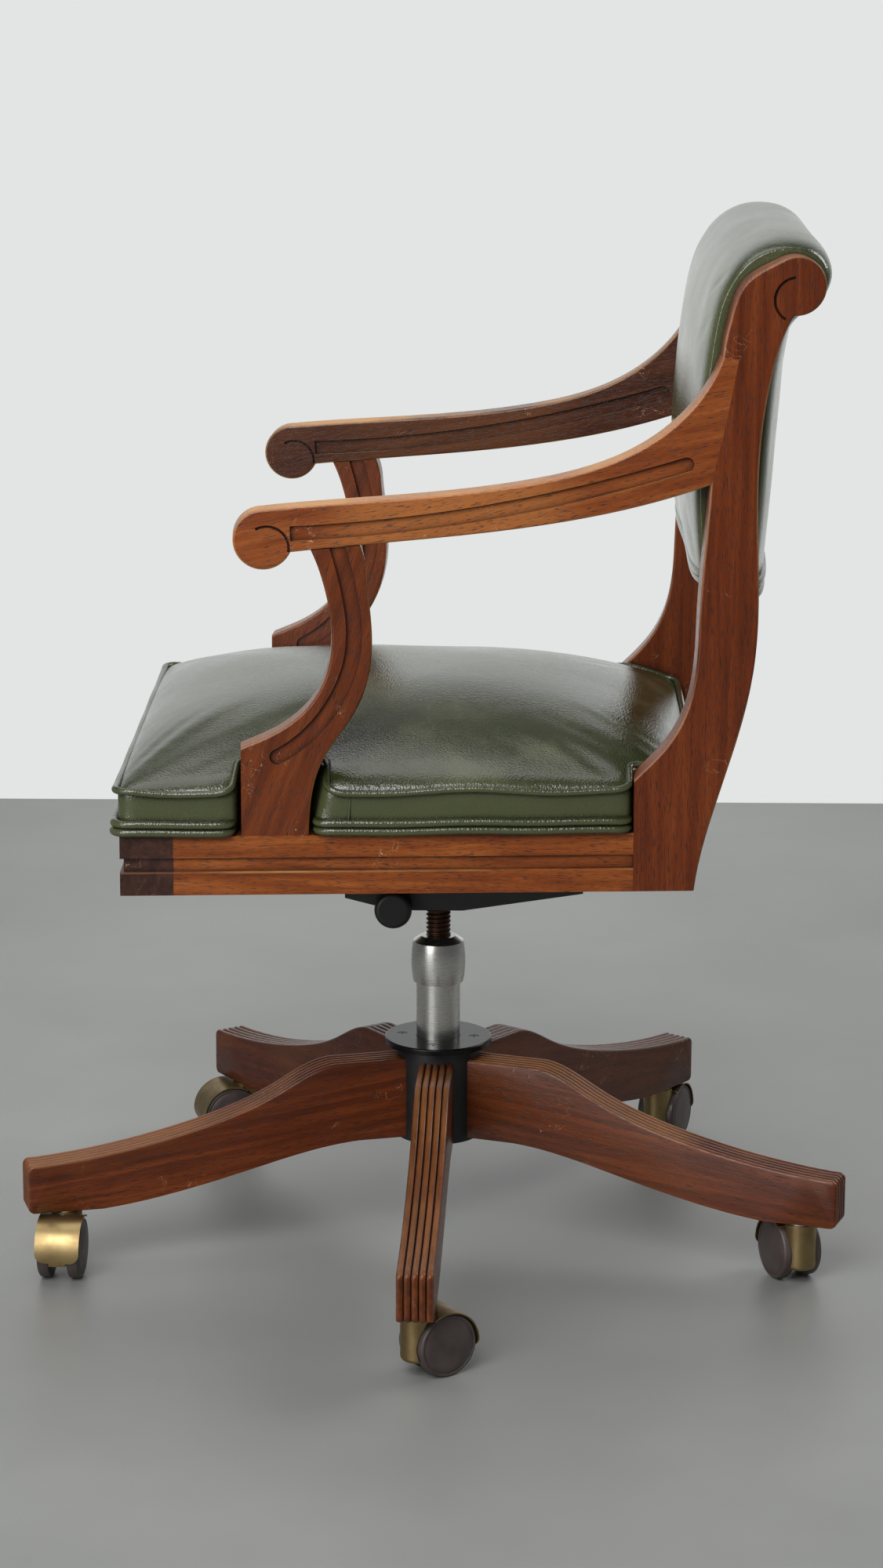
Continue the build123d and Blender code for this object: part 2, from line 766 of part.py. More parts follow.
def post_outline():
    """Side view of a back post: a square foot, a sweep up the back, a scroll on top."""
    foot = -rail_height
    neck = (post_scroll_depth - 2, post_scroll_height - post_scroll_radius)
    crown = on_post_scroll(116)
    rise = neck[1] - foot
    lean = neck[0] - post_foot_rear
    rear = Spline(
        (post_foot_rear, foot),
        (post_foot_rear + 0.206 * lean, foot + 0.140 * rise),
        (post_foot_rear + 0.630 * lean, foot + 0.386 * rise),
        (post_foot_rear + 0.644 * lean, foot + 0.721 * rise),
        (post_foot_rear + 0.767 * lean, foot + 0.897 * rise),
        neck,
        tangents=[(0.12, 1), (0.6, 1)],
    )
    scroll_foot = on_post_scroll(-90)
    scroll_right = on_post_scroll(0)
    climb = crown[1] - arm_joint_top[1]
    reach = crown[0] - arm_joint_top[0]
    front = Spline(
        crown,
        (arm_joint_top[0] + 0.289 * reach, arm_joint_top[1] + 0.700 * climb),
        (arm_joint_top[0] + 0.103 * reach, arm_joint_top[1] + 0.356 * climb),
        arm_joint_top,
        tangents=[(-1, -0.49), (-0.1, -1)],
    )
    lower = Spline(
        arm_joint_bottom,
        (arm_joint_bottom[0] - 7, arm_joint_bottom[1] - 104),
        (arm_joint_bottom[0] - 15, arm_joint_bottom[1] - 183),
        (arm_joint_bottom[0] - 31, arm_joint_bottom[1] - 215),
        (post_foot_front, 45),
        tangents=[(-0.05, -1), (-1, -1)],
    )
    edges = [
        Line((post_foot_front, foot), (post_foot_rear, foot)),
        *rear.edges(),
        Line(neck, scroll_foot),
        ThreePointArc(scroll_foot, on_post_scroll(-45), scroll_right),
        ThreePointArc(scroll_right, on_post_scroll(60), crown),
        *front.edges(),
        Line(arm_joint_top, arm_joint_shoulder),
        *arm_joint().edges(),
        *lower.edges(),
        Line((post_foot_front, 45), (post_foot_front, foot)),
    ]
    return make_face(edges)


def back_post():
    """A back post with a marked scroll."""
    joint = (arm_joint_bottom[1] + rail_top, arm_joint_top[1] + rail_top)
    body = side_board(post_outline())
    body = softened(
        body, lambda middle: middle.Z > rail_top + rail_height and not joint[0] < middle.Z < joint[1]
    )
    return carve(body, scroll_groove(post_scroll_depth, post_scroll_height - 11, 95, 145))


def fillet_band(depth_range):
    """The recessed band that runs round the outside of the rails, on the side plane."""
    heights = (rail_bottom + rail_fillet_rise, rail_bottom + rail_fillet_rise + rail_fillet_height)
    return block((-rail_fillet_depth, board), depth_range, heights)


def front_rail_outline(inset):
    """Plan of the front rail, drawn in by an inset at its front and ends."""
    front = -seat_front + inset
    rear = -seat_front + front_rail_depth
    return [
        (side_x(front) - inset, front),
        (side_x(rear) - inset, rear),
        (-side_x(rear) + inset, rear),
        (-side_x(front) + inset, front),
    ]


def front_rail():
    """The moulded front rail, as wide as the seat."""
    body = slab(front_rail_outline(0), rail_bottom, rail_top)
    low = rail_bottom + rail_fillet_rise
    high = low + rail_fillet_height
    band = slab(front_rail_outline(0), low, high) - slab(front_rail_outline(rail_fillet_depth), low, high)
    return body - band


def side_rail():
    """A moulded side rail from the front rail back to the post."""
    start = -seat_front + front_rail_depth / 2
    body = block((-board, 0), (start, post_foot_front), (rail_bottom, rail_top))
    body -= fillet_band((start, post_foot_front))
    placed = on_side(body)
    return placed - slab(front_rail_outline(0), rail_bottom, rail_top)


def cross_board(front, rear, bottom, top):
    """A board that fits between the inner faces of the two sides."""
    points = [
        (inner_x(front), front),
        (inner_x(rear), rear),
        (-inner_x(rear), rear),
        (-inner_x(front), front),
    ]
    return slab(points, bottom, top)


def back_rail_limits():
    """Front and rear faces of the back rail, between the feet of the posts."""
    rear = post_foot_rear - back_rail_inset
    return (rear - back_rail_depth, rear)


def back_rail():
    """The plain rail between the feet of the posts."""
    front, rear = back_rail_limits()
    return cross_board(front, rear, rail_bottom, rail_top)


def corner_blocks():
    """Glued triangles in the four corners of the seat frame, under the seat board."""
    top = rail_top - seat_board_thickness
    bottom = top - corner_block_height
    front = -seat_front + front_rail_depth
    rear = back_rail_limits()[0]
    blocks = []
    for place, inward in ((front, 1), (rear, -1)):
        corner = [
            (inner_x(place), place),
            (inner_x(place + inward * corner_block_leg), place + inward * corner_block_leg),
            (inner_x(place) - corner_block_leg, place),
        ]
        piece = slab(corner, bottom, top)
        blocks += [piece, across(piece)]
    return blocks


def seat_board():
    """The board inside the rails that carries the cushion."""
    front = -seat_front + front_rail_depth
    rear = back_rail_limits()[0]
    return cross_board(front, rear, rail_top - seat_board_thickness, rail_top)


def seat_battens():
    """Two cross battens from rail to rail that the housing is screwed to."""
    battens = []
    for place in (front_batten_place, rear_batten_place):
        front = place - batten_width / 2
        rear = place + batten_width / 2
        body = cross_board(front, rear, rail_bottom, rail_top - seat_board_thickness)
        for x, y in housing_screw_places():
            body -= rod(housing_screw_diameter + fit_clearance, housing_screw_length, (x, y, rail_bottom))
        battens.append(body)
    return battens


# Upholstery


def crown_share(depth):
    """How far the seat's crown has risen at one depth, from 0 at the ends to 1, full and round."""
    middle = (cushion_rear - cushion_front) / 2
    half = (cushion_rear + cushion_front) / 2
    softness = 0.5 if depth < middle else 0.7
    return (1 - abs((depth - middle) / half) ** 3) ** softness


def cushion_section(depth):
    """Cross-section of the seat cushion: flat under, drawn-in sides, a full arched top."""
    half = side_x(depth) + cushion_overhang
    bottom = rail_top + seat_clearance
    rim = rail_top + cushion_rim_height
    rise = cushion_end_crown + (cushion_crown - cushion_end_crown) * crown_share(depth)

    def at(width, height):
        return (half * width, depth, rim + rise * height)

    edges = [
        Line((-half, depth, bottom), (half, depth, bottom)),
        ThreePointArc(at(0.78, 0.62), (0, depth, rim + rise), at(-0.78, 0.62)),
    ]
    for side in (-1, 1):
        waist = (side * (half - cushion_drawn_in), depth, (bottom + rim) / 2)
        edges.append(ThreePointArc((side * half, depth, bottom), waist, at(side, 0)))
        edges.append(ThreePointArc(at(side, 0), at(side * 0.93, 0.325), at(side * 0.78, 0.62)))
    return Face(Wire(edges))


def seat_cushion():
    """The crowned seat cushion, notched round the arm supports and the back posts."""
    stations = [-cushion_front, -256, -240, -205, -140, -60, 30, 105, 160, 195, 211, cushion_rear]
    body = loft([cushion_section(depth) for depth in stations])
    heights = (rail_top - board, rail_top + arm_scroll_height)
    inside = -board - seat_clearance
    support_notch = block(
        (inside, 2 * board), (support_foot_front - notch_room, support_foot_rear + 3 * notch_room), heights
    )
    post_notch = block((inside, 2 * board), (post_foot_front - seat_clearance, 2 * post_foot_rear), heights)
    for notch in (support_notch, post_notch):
        body = body - on_side(notch) - across(on_side(notch))
    return body


def back_section(x):
    """Cross-section of the back pad at one place across the chair, thickest in the middle."""
    full = (1 - abs(x / inner_x(0)) ** 5) ** 0.45

    def between(edge, middle):
        depth = edge[0] + full * (middle[0] - edge[0])
        height = edge[1] + full * (middle[1] - edge[1])
        return (x, depth, rail_top + height)

    def by_scroll(edge, middle):
        eye = (post_scroll_depth, post_scroll_height)
        return between((eye[0] + edge[0], eye[1] + edge[1]), (eye[0] + middle[0], eye[1] + middle[1]))

    half_way = (back_bottom + post_scroll_height) / 2
    front_low = between((post_foot_rear + 6, back_bottom + 4), (post_foot_rear - 2, back_bottom))
    front_mid = between((post_foot_rear - 2, half_way - 8), (post_foot_rear - 7.5, half_way - 8))
    front_high = by_scroll((-65, -27), (-69.5, -27))
    brow = by_scroll((-45, 15), (-48.5, 17))
    crown = by_scroll((-10, 32), (-8, 35))
    shoulder = by_scroll((19, 23), (23, 26.5))
    roll = by_scroll((28.5, 5), (33, 6))
    heel = by_scroll((21, -19), (24.5, -17))
    nape = by_scroll((0, -41), (6, -39))
    rear_mid = between((post_foot_rear + 56, half_way - 18), (post_foot_rear + 69.5, half_way - 18))
    rear_low = between((post_foot_rear + 52, back_bottom - 15), (post_foot_rear + 61, back_bottom - 19))
    under = between((post_foot_rear + 32, back_bottom - 14), (post_foot_rear + 34, back_bottom - 21))
    wire = Wire(
        [
            ThreePointArc(front_low, front_mid, front_high),
            ThreePointArc(front_high, brow, crown),
            ThreePointArc(crown, shoulder, roll),
            ThreePointArc(roll, heel, nape),
            ThreePointArc(nape, rear_mid, rear_low),
            ThreePointArc(rear_low, under, front_low),
        ]
    )
    return Face(wire)


def post_room():
    """The space outside the inner face of an east post, with room for the pad's cover."""
    heights = (rail_top, rail_top + 2 * post_scroll_height)
    return on_side(block((-board - seat_clearance, 4 * board), (0, 3 * post_foot_rear), heights))


def crest_rail_piece(extra):
    """The round crest rail inside the top of the back, with extra radius."""
    reach = side_x(post_scroll_depth)
    height = rail_top + post_scroll_height - 4
    bar = rod(crest_rail_diameter + 2 * extra, 2 * reach, (-reach, post_scroll_depth - 12, height), (1, 0, 0))
    side_space = on_side(block((-board, 4 * board), (0, 3 * post_foot_rear), (0, 4 * rail_top)))
    return bar - side_space - across(side_space)


def lower_back_rail_piece(extra):
    """The flat rail inside the bottom of the back, with extra room all round."""
    reach = side_x(post_foot_rear)
    rear = post_foot_rear + 44 + extra
    bottom = rail_top + back_bottom + 14
    bar = block(
        (-reach, reach),
        (rear - back_rail_thickness - 2 * extra, rear),
        (bottom - extra, bottom + back_rail_height + extra),
    )
    side_space = on_side(block((-board, 4 * board), (0, 3 * post_foot_rear), (0, 4 * rail_top)))
    return bar - side_space - across(side_space)


def back_pad():
    """The stuffed back between the posts, rolled back over the crest rail."""
    reach = inner_x(0)
    stations = [reach * share for share in (-1, -0.98, -0.92, -0.75, -0.4, 0, 0.4, 0.75, 0.92, 0.98, 1)]
    body = loft([back_section(x) for x in stations])
    body = body - post_room() - across(post_room())
    return body - crest_rail_piece(seat_clearance) - lower_back_rail_piece(seat_clearance)


def castors():
    """All castor pieces in place, by node name."""
    nodes = {}
    hood = castor_hood()
    wheels = {"wheel_a": castor_wheel(1), "wheel_b": castor_wheel(-1)}
    for i in range(leg_count):
        place = castor_place(i)
        label = f"castor_{i + 1}"
        nodes[f"{label}_hood"] = place * hood
        nodes[f"{label}_pins"] = [place * pin for pin in castor_pins()]
        nodes.update({f"{label}_{name}": place * wheel for name, wheel in wheels.items()})
    return nodes


def side_frames():
    """Both side frames, by node name."""
    nodes = {}
    pieces = {
        "arm": on_side(arm()),
        "arm_support": on_side(arm_support()),
        "back_post": on_side(back_post()),
        "side_rail": side_rail(),
    }
    for name, piece in pieces.items():
        nodes[f"{name}_east"] = piece
        nodes[f"{name}_west"] = across(piece)
    return nodes


nodes = {
    "hub_tube": hub_tube(),
    "hub_flange": hub_flange(),
    "flange_screws": flange_screws(),
    "leg_bolts": leg_bolts(),
    "castor_sockets": castor_sockets(),
    "column_bushes": column_bushes(),
    "thrust_washer": thrust_washer(),
    "column_tube": column_tube(),
    "nut_collar": nut_collar(),
    "spindle": spindle(),
    "spindle_stop": spindle_stop(),
    "spindle_head": spindle_head(),
    "tilt_pin": tilt_pin(),
    "tilt_housing": tilt_housing(),
    "housing_screws": housing_screws(),
    "tension_tube": tension_tube(),
    "tension_knob": tension_knob(),
    "front_rail": front_rail(),
    "back_rail": back_rail(),
    "corner_blocks": corner_blocks(),
    "seat_board": seat_board(),
    "seat_battens": seat_battens(),
    "crest_rail": crest_rail_piece(0),
    "lower_back_rail": lower_back_rail_piece(0),
    "seat_cushion": seat_cushion(),
    "back_pad": back_pad(),
}
nodes.update({f"leg_{i + 1}": piece for i, piece in enumerate(around(leg_count, first_leg_angle, leg()))})
nodes.update(side_frames())
nodes.update(castors())

os.makedirs("parts", exist_ok=True)
for name, piece in nodes.items():
    solids = piece if isinstance(piece, list) else [piece]
    shape = solids[0] if len(solids) == 1 else Compound(children=solids)
    export_step(shape, f"parts/{name}.step")
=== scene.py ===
import logging
import math
from dataclasses import dataclass
from enum import Enum
from typing import Any, Callable

import bmesh
import bpy
import numpy as np
from mathutils import Matrix, Vector


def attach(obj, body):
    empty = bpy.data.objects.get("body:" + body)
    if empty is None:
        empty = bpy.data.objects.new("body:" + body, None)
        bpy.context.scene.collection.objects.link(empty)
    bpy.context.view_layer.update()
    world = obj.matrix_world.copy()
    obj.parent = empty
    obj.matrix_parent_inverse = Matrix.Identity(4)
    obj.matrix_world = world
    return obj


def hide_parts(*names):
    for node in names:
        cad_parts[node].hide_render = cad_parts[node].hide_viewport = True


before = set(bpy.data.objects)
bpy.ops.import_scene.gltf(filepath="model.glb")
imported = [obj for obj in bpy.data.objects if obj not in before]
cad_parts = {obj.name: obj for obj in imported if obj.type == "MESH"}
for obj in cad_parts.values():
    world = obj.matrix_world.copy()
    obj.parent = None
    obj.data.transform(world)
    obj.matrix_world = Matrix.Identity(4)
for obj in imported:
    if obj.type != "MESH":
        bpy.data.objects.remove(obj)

Material = bpy.types.Material
Piece = bpy.types.Object
Socket = bpy.types.NodeSocket
Tree = bpy.types.NodeTree

log = logging.getLogger("desk_armchair")

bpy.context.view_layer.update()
MM = 0.001
RAIL_TOP = 0.4363
LEG_ANGLES = tuple(math.radians(-2.0 + 72.0 * index) for index in range(5))
LEATHER_SLOT = "leather_cushion"
UPRIGHT = np.array([0.0, 0.0, 1.0])
SHARP_CORNER = math.radians(55)
MERGE_DISTANCE = 1e-5
DEGENERATE_LENGTH = 1e-6
CORD_SIDES = 12
FILL_PRESSURE = 4.0
FILL_STEPS = 14
HELD_BELOW = 0.05


class Side(Enum):
    """The two sides of the chair, seen from above."""

    EAST = 1
    WEST = -1

    @property
    def label(self) -> str:
        """The side's word in the names of pieces."""
        return self.name.lower()


class Heading(Enum):
    """Which way the wood's grain runs in a straight piece."""

    ACROSS = (1.0, 0.0, 0.0)
    BACKWARDS = (0.0, 1.0, 0.0)
    UP = (0.0, 0.0, 1.0)
    ARM = (0.0, 0.98, 0.2)
    SUPPORT = (0.0, 0.35, 0.94)


def linear(colour: str) -> tuple[float, float, float, float]:
    """Turns an sRGB hex colour into linear light.

    Args:
        colour: Six hex digits, with or without a hash sign.

    Returns:
        Linear red, green and blue, and an alpha of 1.
    """
    digits = colour.lstrip("#")
    share = np.array([int(digits[i:i + 2], 16) / 255 for i in (0, 2, 4)])
    light = np.where(share <= 0.04045, share / 12.92, ((share + 0.055) / 1.055) ** 2.4)
    return (*(float(value) for value in light), 1.0)


def add(tree: Tree, kind: str, inputs: dict[Any, Any] | None = None, **settings: Any) -> bpy.types.Node:
    """Adds one shader node with its settings, values and links.

    Args:
        tree: The material's node tree.
        kind: The node's type name.
        inputs: Socket name or number to a value, or to the output that feeds it.
        settings: Node properties; stops fills a colour ramp with (place, hex colour) pairs.

    Returns:
        The new node.
    """
    node = tree.nodes.new(kind)
    stops = settings.pop("stops", None)
    for key, value in settings.items():
        setattr(node, key, value)
    if stops:
        elements = node.color_ramp.elements
        while len(elements) < len(stops):
            elements.new(0.5)
        for element, (place, colour) in zip(elements, stops):
            element.position = place
            element.color = linear(colour)
    for key, value in (inputs or {}).items():
        if isinstance(value, bpy.types.NodeSocket):
            tree.links.new(value, node.inputs[key])
        else:
            node.inputs[key].default_value = value
    return node


def blank(name: str, **sockets: Any) -> tuple[Material, Tree, bpy.types.Node]:
    """Makes a material with one principled shader.

    Args:
        name: The material's name.
        sockets: Constant values for the shader's sockets, with _ for a space.

    Returns:
        The material, its node tree and its shader.
    """
    material = bpy.data.materials.new(name)
    material.use_nodes = True
    tree = material.node_tree
    shader = next(node for node in tree.nodes if node.type == "BSDF_PRINCIPLED")
    for key, value in sockets.items():
        shader.inputs[key.replace("_", " ")].default_value = value
    return material, tree, shader


@dataclass(frozen=True)
class Mahogany:
    """French-polished wood: ribbon figure, open dark pores, paler wood where the polish has rubbed off,
    painted highlights on tops and edges, and painted shade in its hollows.
    """

    name: str
    grain: tuple[float, float, float]
    dark: str = "461C09"
    middle: str = "5A270D"
    light: str = "6C3313"
    # Pale colour for wear and for painted light on tops, edges and the arris line.
    worn_and_lit: str = "A9743F"
    shift: float = 0.0
    # Pale share on faces that look up and on rounded edges: wear, and painted light where they catch it.
    top_wear_and_light: float = 0.25
    edge_wear_and_highlight: float = 0.35
    arris_height: float = -1.0
    arris_half: float = 0.0008
    faded_share: float = 0.0
    faded: str = "A46736"
    faded_middle: float = 0.015
    faded_half: float = 0.125
    pore_filler: str = "1E0D08"
    bruise: str = "C79A76"
    # Near-black brown painted into the hollows as painted shade.
    hollow_shade: str = "180A05"
    ribbon_mm: float = 9.0
    pore_mm: float = 0.8
    hollow_mm: float = 7.0
    ribbons_along: float = 6.0
    pores_along: float = 110.0
    patches_per_metre: float = 9.0
    nicks_per_metre: float = 38.0
    nick_half: float = 0.0035
    bruises_per_metre: float = 23.0
    faded_core: float = 0.45
    # Pale share of the line along one straight edge: a painted highlight, with some wear.
    arris_highlight_and_wear: float = 0.5
    polish: float = 0.30
    pore_dullness: float = 0.25
    worn_dullness: float = 0.3

    def figure(self, tree: Tree, place: Socket, along: Socket) -> Socket:
        """The ribbon figure, long streaks of three tones, with a stretch along the piece faded by the sun.

        Args:
            tree: The material's node tree.
            place: Position in metres.
            along: Position turned so that its first axis follows the grain.

        Returns:
            The colour of the bare figure.
        """
        across = 1000 / self.ribbon_mm
        streak = add(tree, "ShaderNodeVectorMath", {
            0: along, 1: (self.ribbons_along, across, across),
        }, operation="MULTIPLY")
        ribbon = add(tree, "ShaderNodeTexNoise", {
            "Vector": streak.outputs[0], "Scale": 1.0, "Detail": 5.0, "Roughness": 0.62, "Distortion": 0.5,
        }).outputs["Fac"]
        tones = add(tree, "ShaderNodeValToRGB", {"Fac": ribbon}, stops=[
            (0.28, self.dark), (0.47, self.middle), (0.70, self.light),
        ]).outputs["Color"]
        station = add(tree, "ShaderNodeSeparateXYZ", {"Vector": place}).outputs["Y"]
        offset = add(tree, "ShaderNodeMath", {0: station, 1: -self.faded_middle}).outputs[0]
        sunned = add(tree, "ShaderNodeMapRange", {
            "Value": add(tree, "ShaderNodeMath", {0: offset}, operation="ABSOLUTE").outputs[0],
            "From Min": self.faded_core * self.faded_half, "From Max": self.faded_half,
            "To Min": self.faded_share, "To Max": 0.0,
        }, interpolation_type="SMOOTHSTEP").outputs[0]
        return add(tree, "ShaderNodeMixRGB", {
            "Fac": sunned, "Color1": tones, "Color2": linear(self.faded),
        }).outputs[0]

    def pores(self, tree: Tree, along: Socket) -> Socket:
        """Share of open pores: fine dashes along the grain, drawn three times too wide so that they show.

        Args:
            tree: The material's node tree.
            along: Position turned so that its first axis follows the grain.

        Returns:
            The share, 0 where the wood is closed.
        """
        fine = 1000 / self.pore_mm
        dash = add(tree, "ShaderNodeVectorMath", {
            0: along, 1: (self.pores_along, fine, fine),
        }, operation="MULTIPLY")
        pore = add(tree, "ShaderNodeTexNoise", {"Vector": dash.outputs[0], "Scale": 1.0, "Detail": 2.0})
        return add(tree, "ShaderNodeMapRange", {
            "Value": pore.outputs["Fac"], "From Min": 0.54, "From Max": 0.68, "To Max": 0.72,
        }).outputs[0]

    def rubbed(self, tree: Tree, place: Socket, along: Socket) -> Socket:
        """Share of wear and painted light: patches on faces that look up and on rounded edges, rubbed and
        also painted pale as if lit, and a painted highlight along one straight edge.

        Args:
            tree: The material's node tree.
            place: Position in metres.
            along: Position turned so that its first axis follows the grain.

        Returns:
            The share, 0 where the polish is whole and no light is painted.
        """
        cloud = add(tree, "ShaderNodeTexNoise", {
            "Vector": along, "Scale": self.patches_per_metre, "Detail": 3.0,
        }).outputs["Fac"]
        patch = add(tree, "ShaderNodeMapRange", {
            "Value": cloud, "From Min": 0.36, "From Max": 0.62,
        }).outputs[0]
        # Faces that look up and rounded edges turn pale: wear, and painted light where tops and edges catch
        # it.
        normal = add(tree, "ShaderNodeNewGeometry").outputs["Normal"]
        facing = add(tree, "ShaderNodeSeparateXYZ", {"Vector": normal})
        top = add(tree, "ShaderNodeMapRange", {
            "Value": facing.outputs["Z"], "From Min": 0.55, "From Max": 0.95, "To Max": self.top_wear_and_light,
        }).outputs[0]
        flank = add(tree, "ShaderNodeMath", {0: facing.outputs["X"]}, operation="ABSOLUTE").outputs[0]
        rise = add(tree, "ShaderNodeMapRange", {
            "Value": flank, "From Min": 0.15, "From Max": 0.5,
        }).outputs[0]
        fall = add(tree, "ShaderNodeMapRange", {
            "Value": flank, "From Min": 0.80, "From Max": 0.97, "To Min": self.edge_wear_and_highlight, "To Max": 0.0,
        }).outputs[0]
        rounding = add(tree, "ShaderNodeMath", {0: rise, 1: fall}, operation="MULTIPLY").outputs[0]
        # A painted highlight, with some wear, along one straight edge at a set height, where that edge
        # catches the light.
        height = add(tree, "ShaderNodeSeparateXYZ", {"Vector": place}).outputs["Z"]
        arris = add(tree, "ShaderNodeMath", {
            0: height, 1: self.arris_height, 2: self.arris_half,
        }, operation="COMPARE").outputs[0]
        sides = add(tree, "ShaderNodeMath", {
            0: arris, 1: self.arris_highlight_and_wear, 2: rounding,
        }, operation="MULTIPLY_ADD").outputs[0]
        bare = add(tree, "ShaderNodeMath", {0: top, 1: sides}, operation="MAXIMUM").outputs[0]
        return add(tree, "ShaderNodeMath", {0: bare, 1: patch}, operation="MULTIPLY").outputs[0]

    def bruised(self, tree: Tree, place: Socket, colour: Socket) -> Socket:
        """The colour with a few thin pale scratches, lines of equal noise that show in scattered places.

        Args:
            tree: The material's node tree.
            place: Position in metres.
            colour: The colour below.

        Returns:
            The marked colour.
        """
        nick = add(tree, "ShaderNodeTexNoise", {
            "Vector": place, "Scale": self.nicks_per_metre, "Detail": 2.0, "Distortion": 2.5,
        })
        line = add(tree, "ShaderNodeMath", {
            0: nick.outputs["Fac"], 1: 0.5, 2: self.nick_half,
        }, operation="COMPARE").outputs[0]
        spots = add(tree, "ShaderNodeTexNoise", {"Vector": place, "Scale": self.bruises_per_metre})
        sparse = add(tree, "ShaderNodeMapRange", {
            "Value": spots.outputs["Fac"], "From Min": 0.62, "From Max": 0.66, "To Max": 0.55,
        }).outputs[0]
        scratch = add(tree, "ShaderNodeMath", {0: line, 1: sparse}, operation="MULTIPLY").outputs[0]
        return add(tree, "ShaderNodeMixRGB", {
            "Fac": scratch, "Color1": colour, "Color2": linear(self.bruise),
        }).outputs[0]

    def make(self) -> Material:
        """Builds the material, with painted shade in its hollows.

        Returns:
            The material.
        """
        material, tree, shader = blank(
            self.name, IOR=1.5, Specular_IOR_Level=0.27, Coat_Weight=0.06, Coat_Roughness=0.1)
        place = add(tree, "ShaderNodeTexCoord").outputs["Object"]
        turn = Vector(self.grain).rotation_difference(Vector((1.0, 0.0, 0.0))).to_euler()
        shift = (self.shift, 1.7 * self.shift, -0.6 * self.shift)
        along = add(tree, "ShaderNodeMapping", {
            "Vector": place, "Rotation": turn, "Location": shift,
        }).outputs[0]
        pores = self.pores(tree, along)
        rubbed = self.rubbed(tree, place, along)
        toned = add(tree, "ShaderNodeMixRGB", {
            "Fac": pores, "Color1": self.figure(tree, place, along), "Color2": linear(self.pore_filler),
        }).outputs[0]
        paled = add(tree, "ShaderNodeMixRGB", {
            "Fac": rubbed, "Color1": toned, "Color2": linear(self.worn_and_lit),
        }).outputs[0]
        # Painted shade: ambient occlusion darkens grooves, recesses and hollows toward a near-black brown.
        hollow = add(tree, "ShaderNodeAmbientOcclusion", {"Distance": self.hollow_mm * MM}, samples=6)
        hollow_shading = add(tree, "ShaderNodeMapRange", {
            "Value": hollow.outputs["AO"], "From Min": 0.35, "From Max": 0.95, "To Min": 0.85, "To Max": 0.0,
        }).outputs[0]
        colour = add(tree, "ShaderNodeMixRGB", {
            "Fac": hollow_shading, "Color1": self.bruised(tree, place, paled), "Color2": linear(self.hollow_shade),
        }).outputs[0]
        tree.links.new(colour, shader.inputs["Base Color"])
        polish = add(tree, "ShaderNodeMath", {
            0: pores, 1: self.pore_dullness, 2: self.polish,
        }, operation="MULTIPLY_ADD").outputs[0]
        dull = add(tree, "ShaderNodeMath", {
            0: rubbed, 1: self.worn_dullness, 2: polish,
        }, operation="MULTIPLY_ADD").outputs[0]
        tree.links.new(dull, shader.inputs["Roughness"])
        relief = add(tree, "ShaderNodeMath", {0: pores, 1: -1.0}, operation="MULTIPLY").outputs[0]
        bump = add(tree, "ShaderNodeBump", {"Height": relief, "Strength": 0.35, "Distance": 0.0004})
        tree.links.new(bump.outputs[0], shader.inputs["Normal"])
        return material


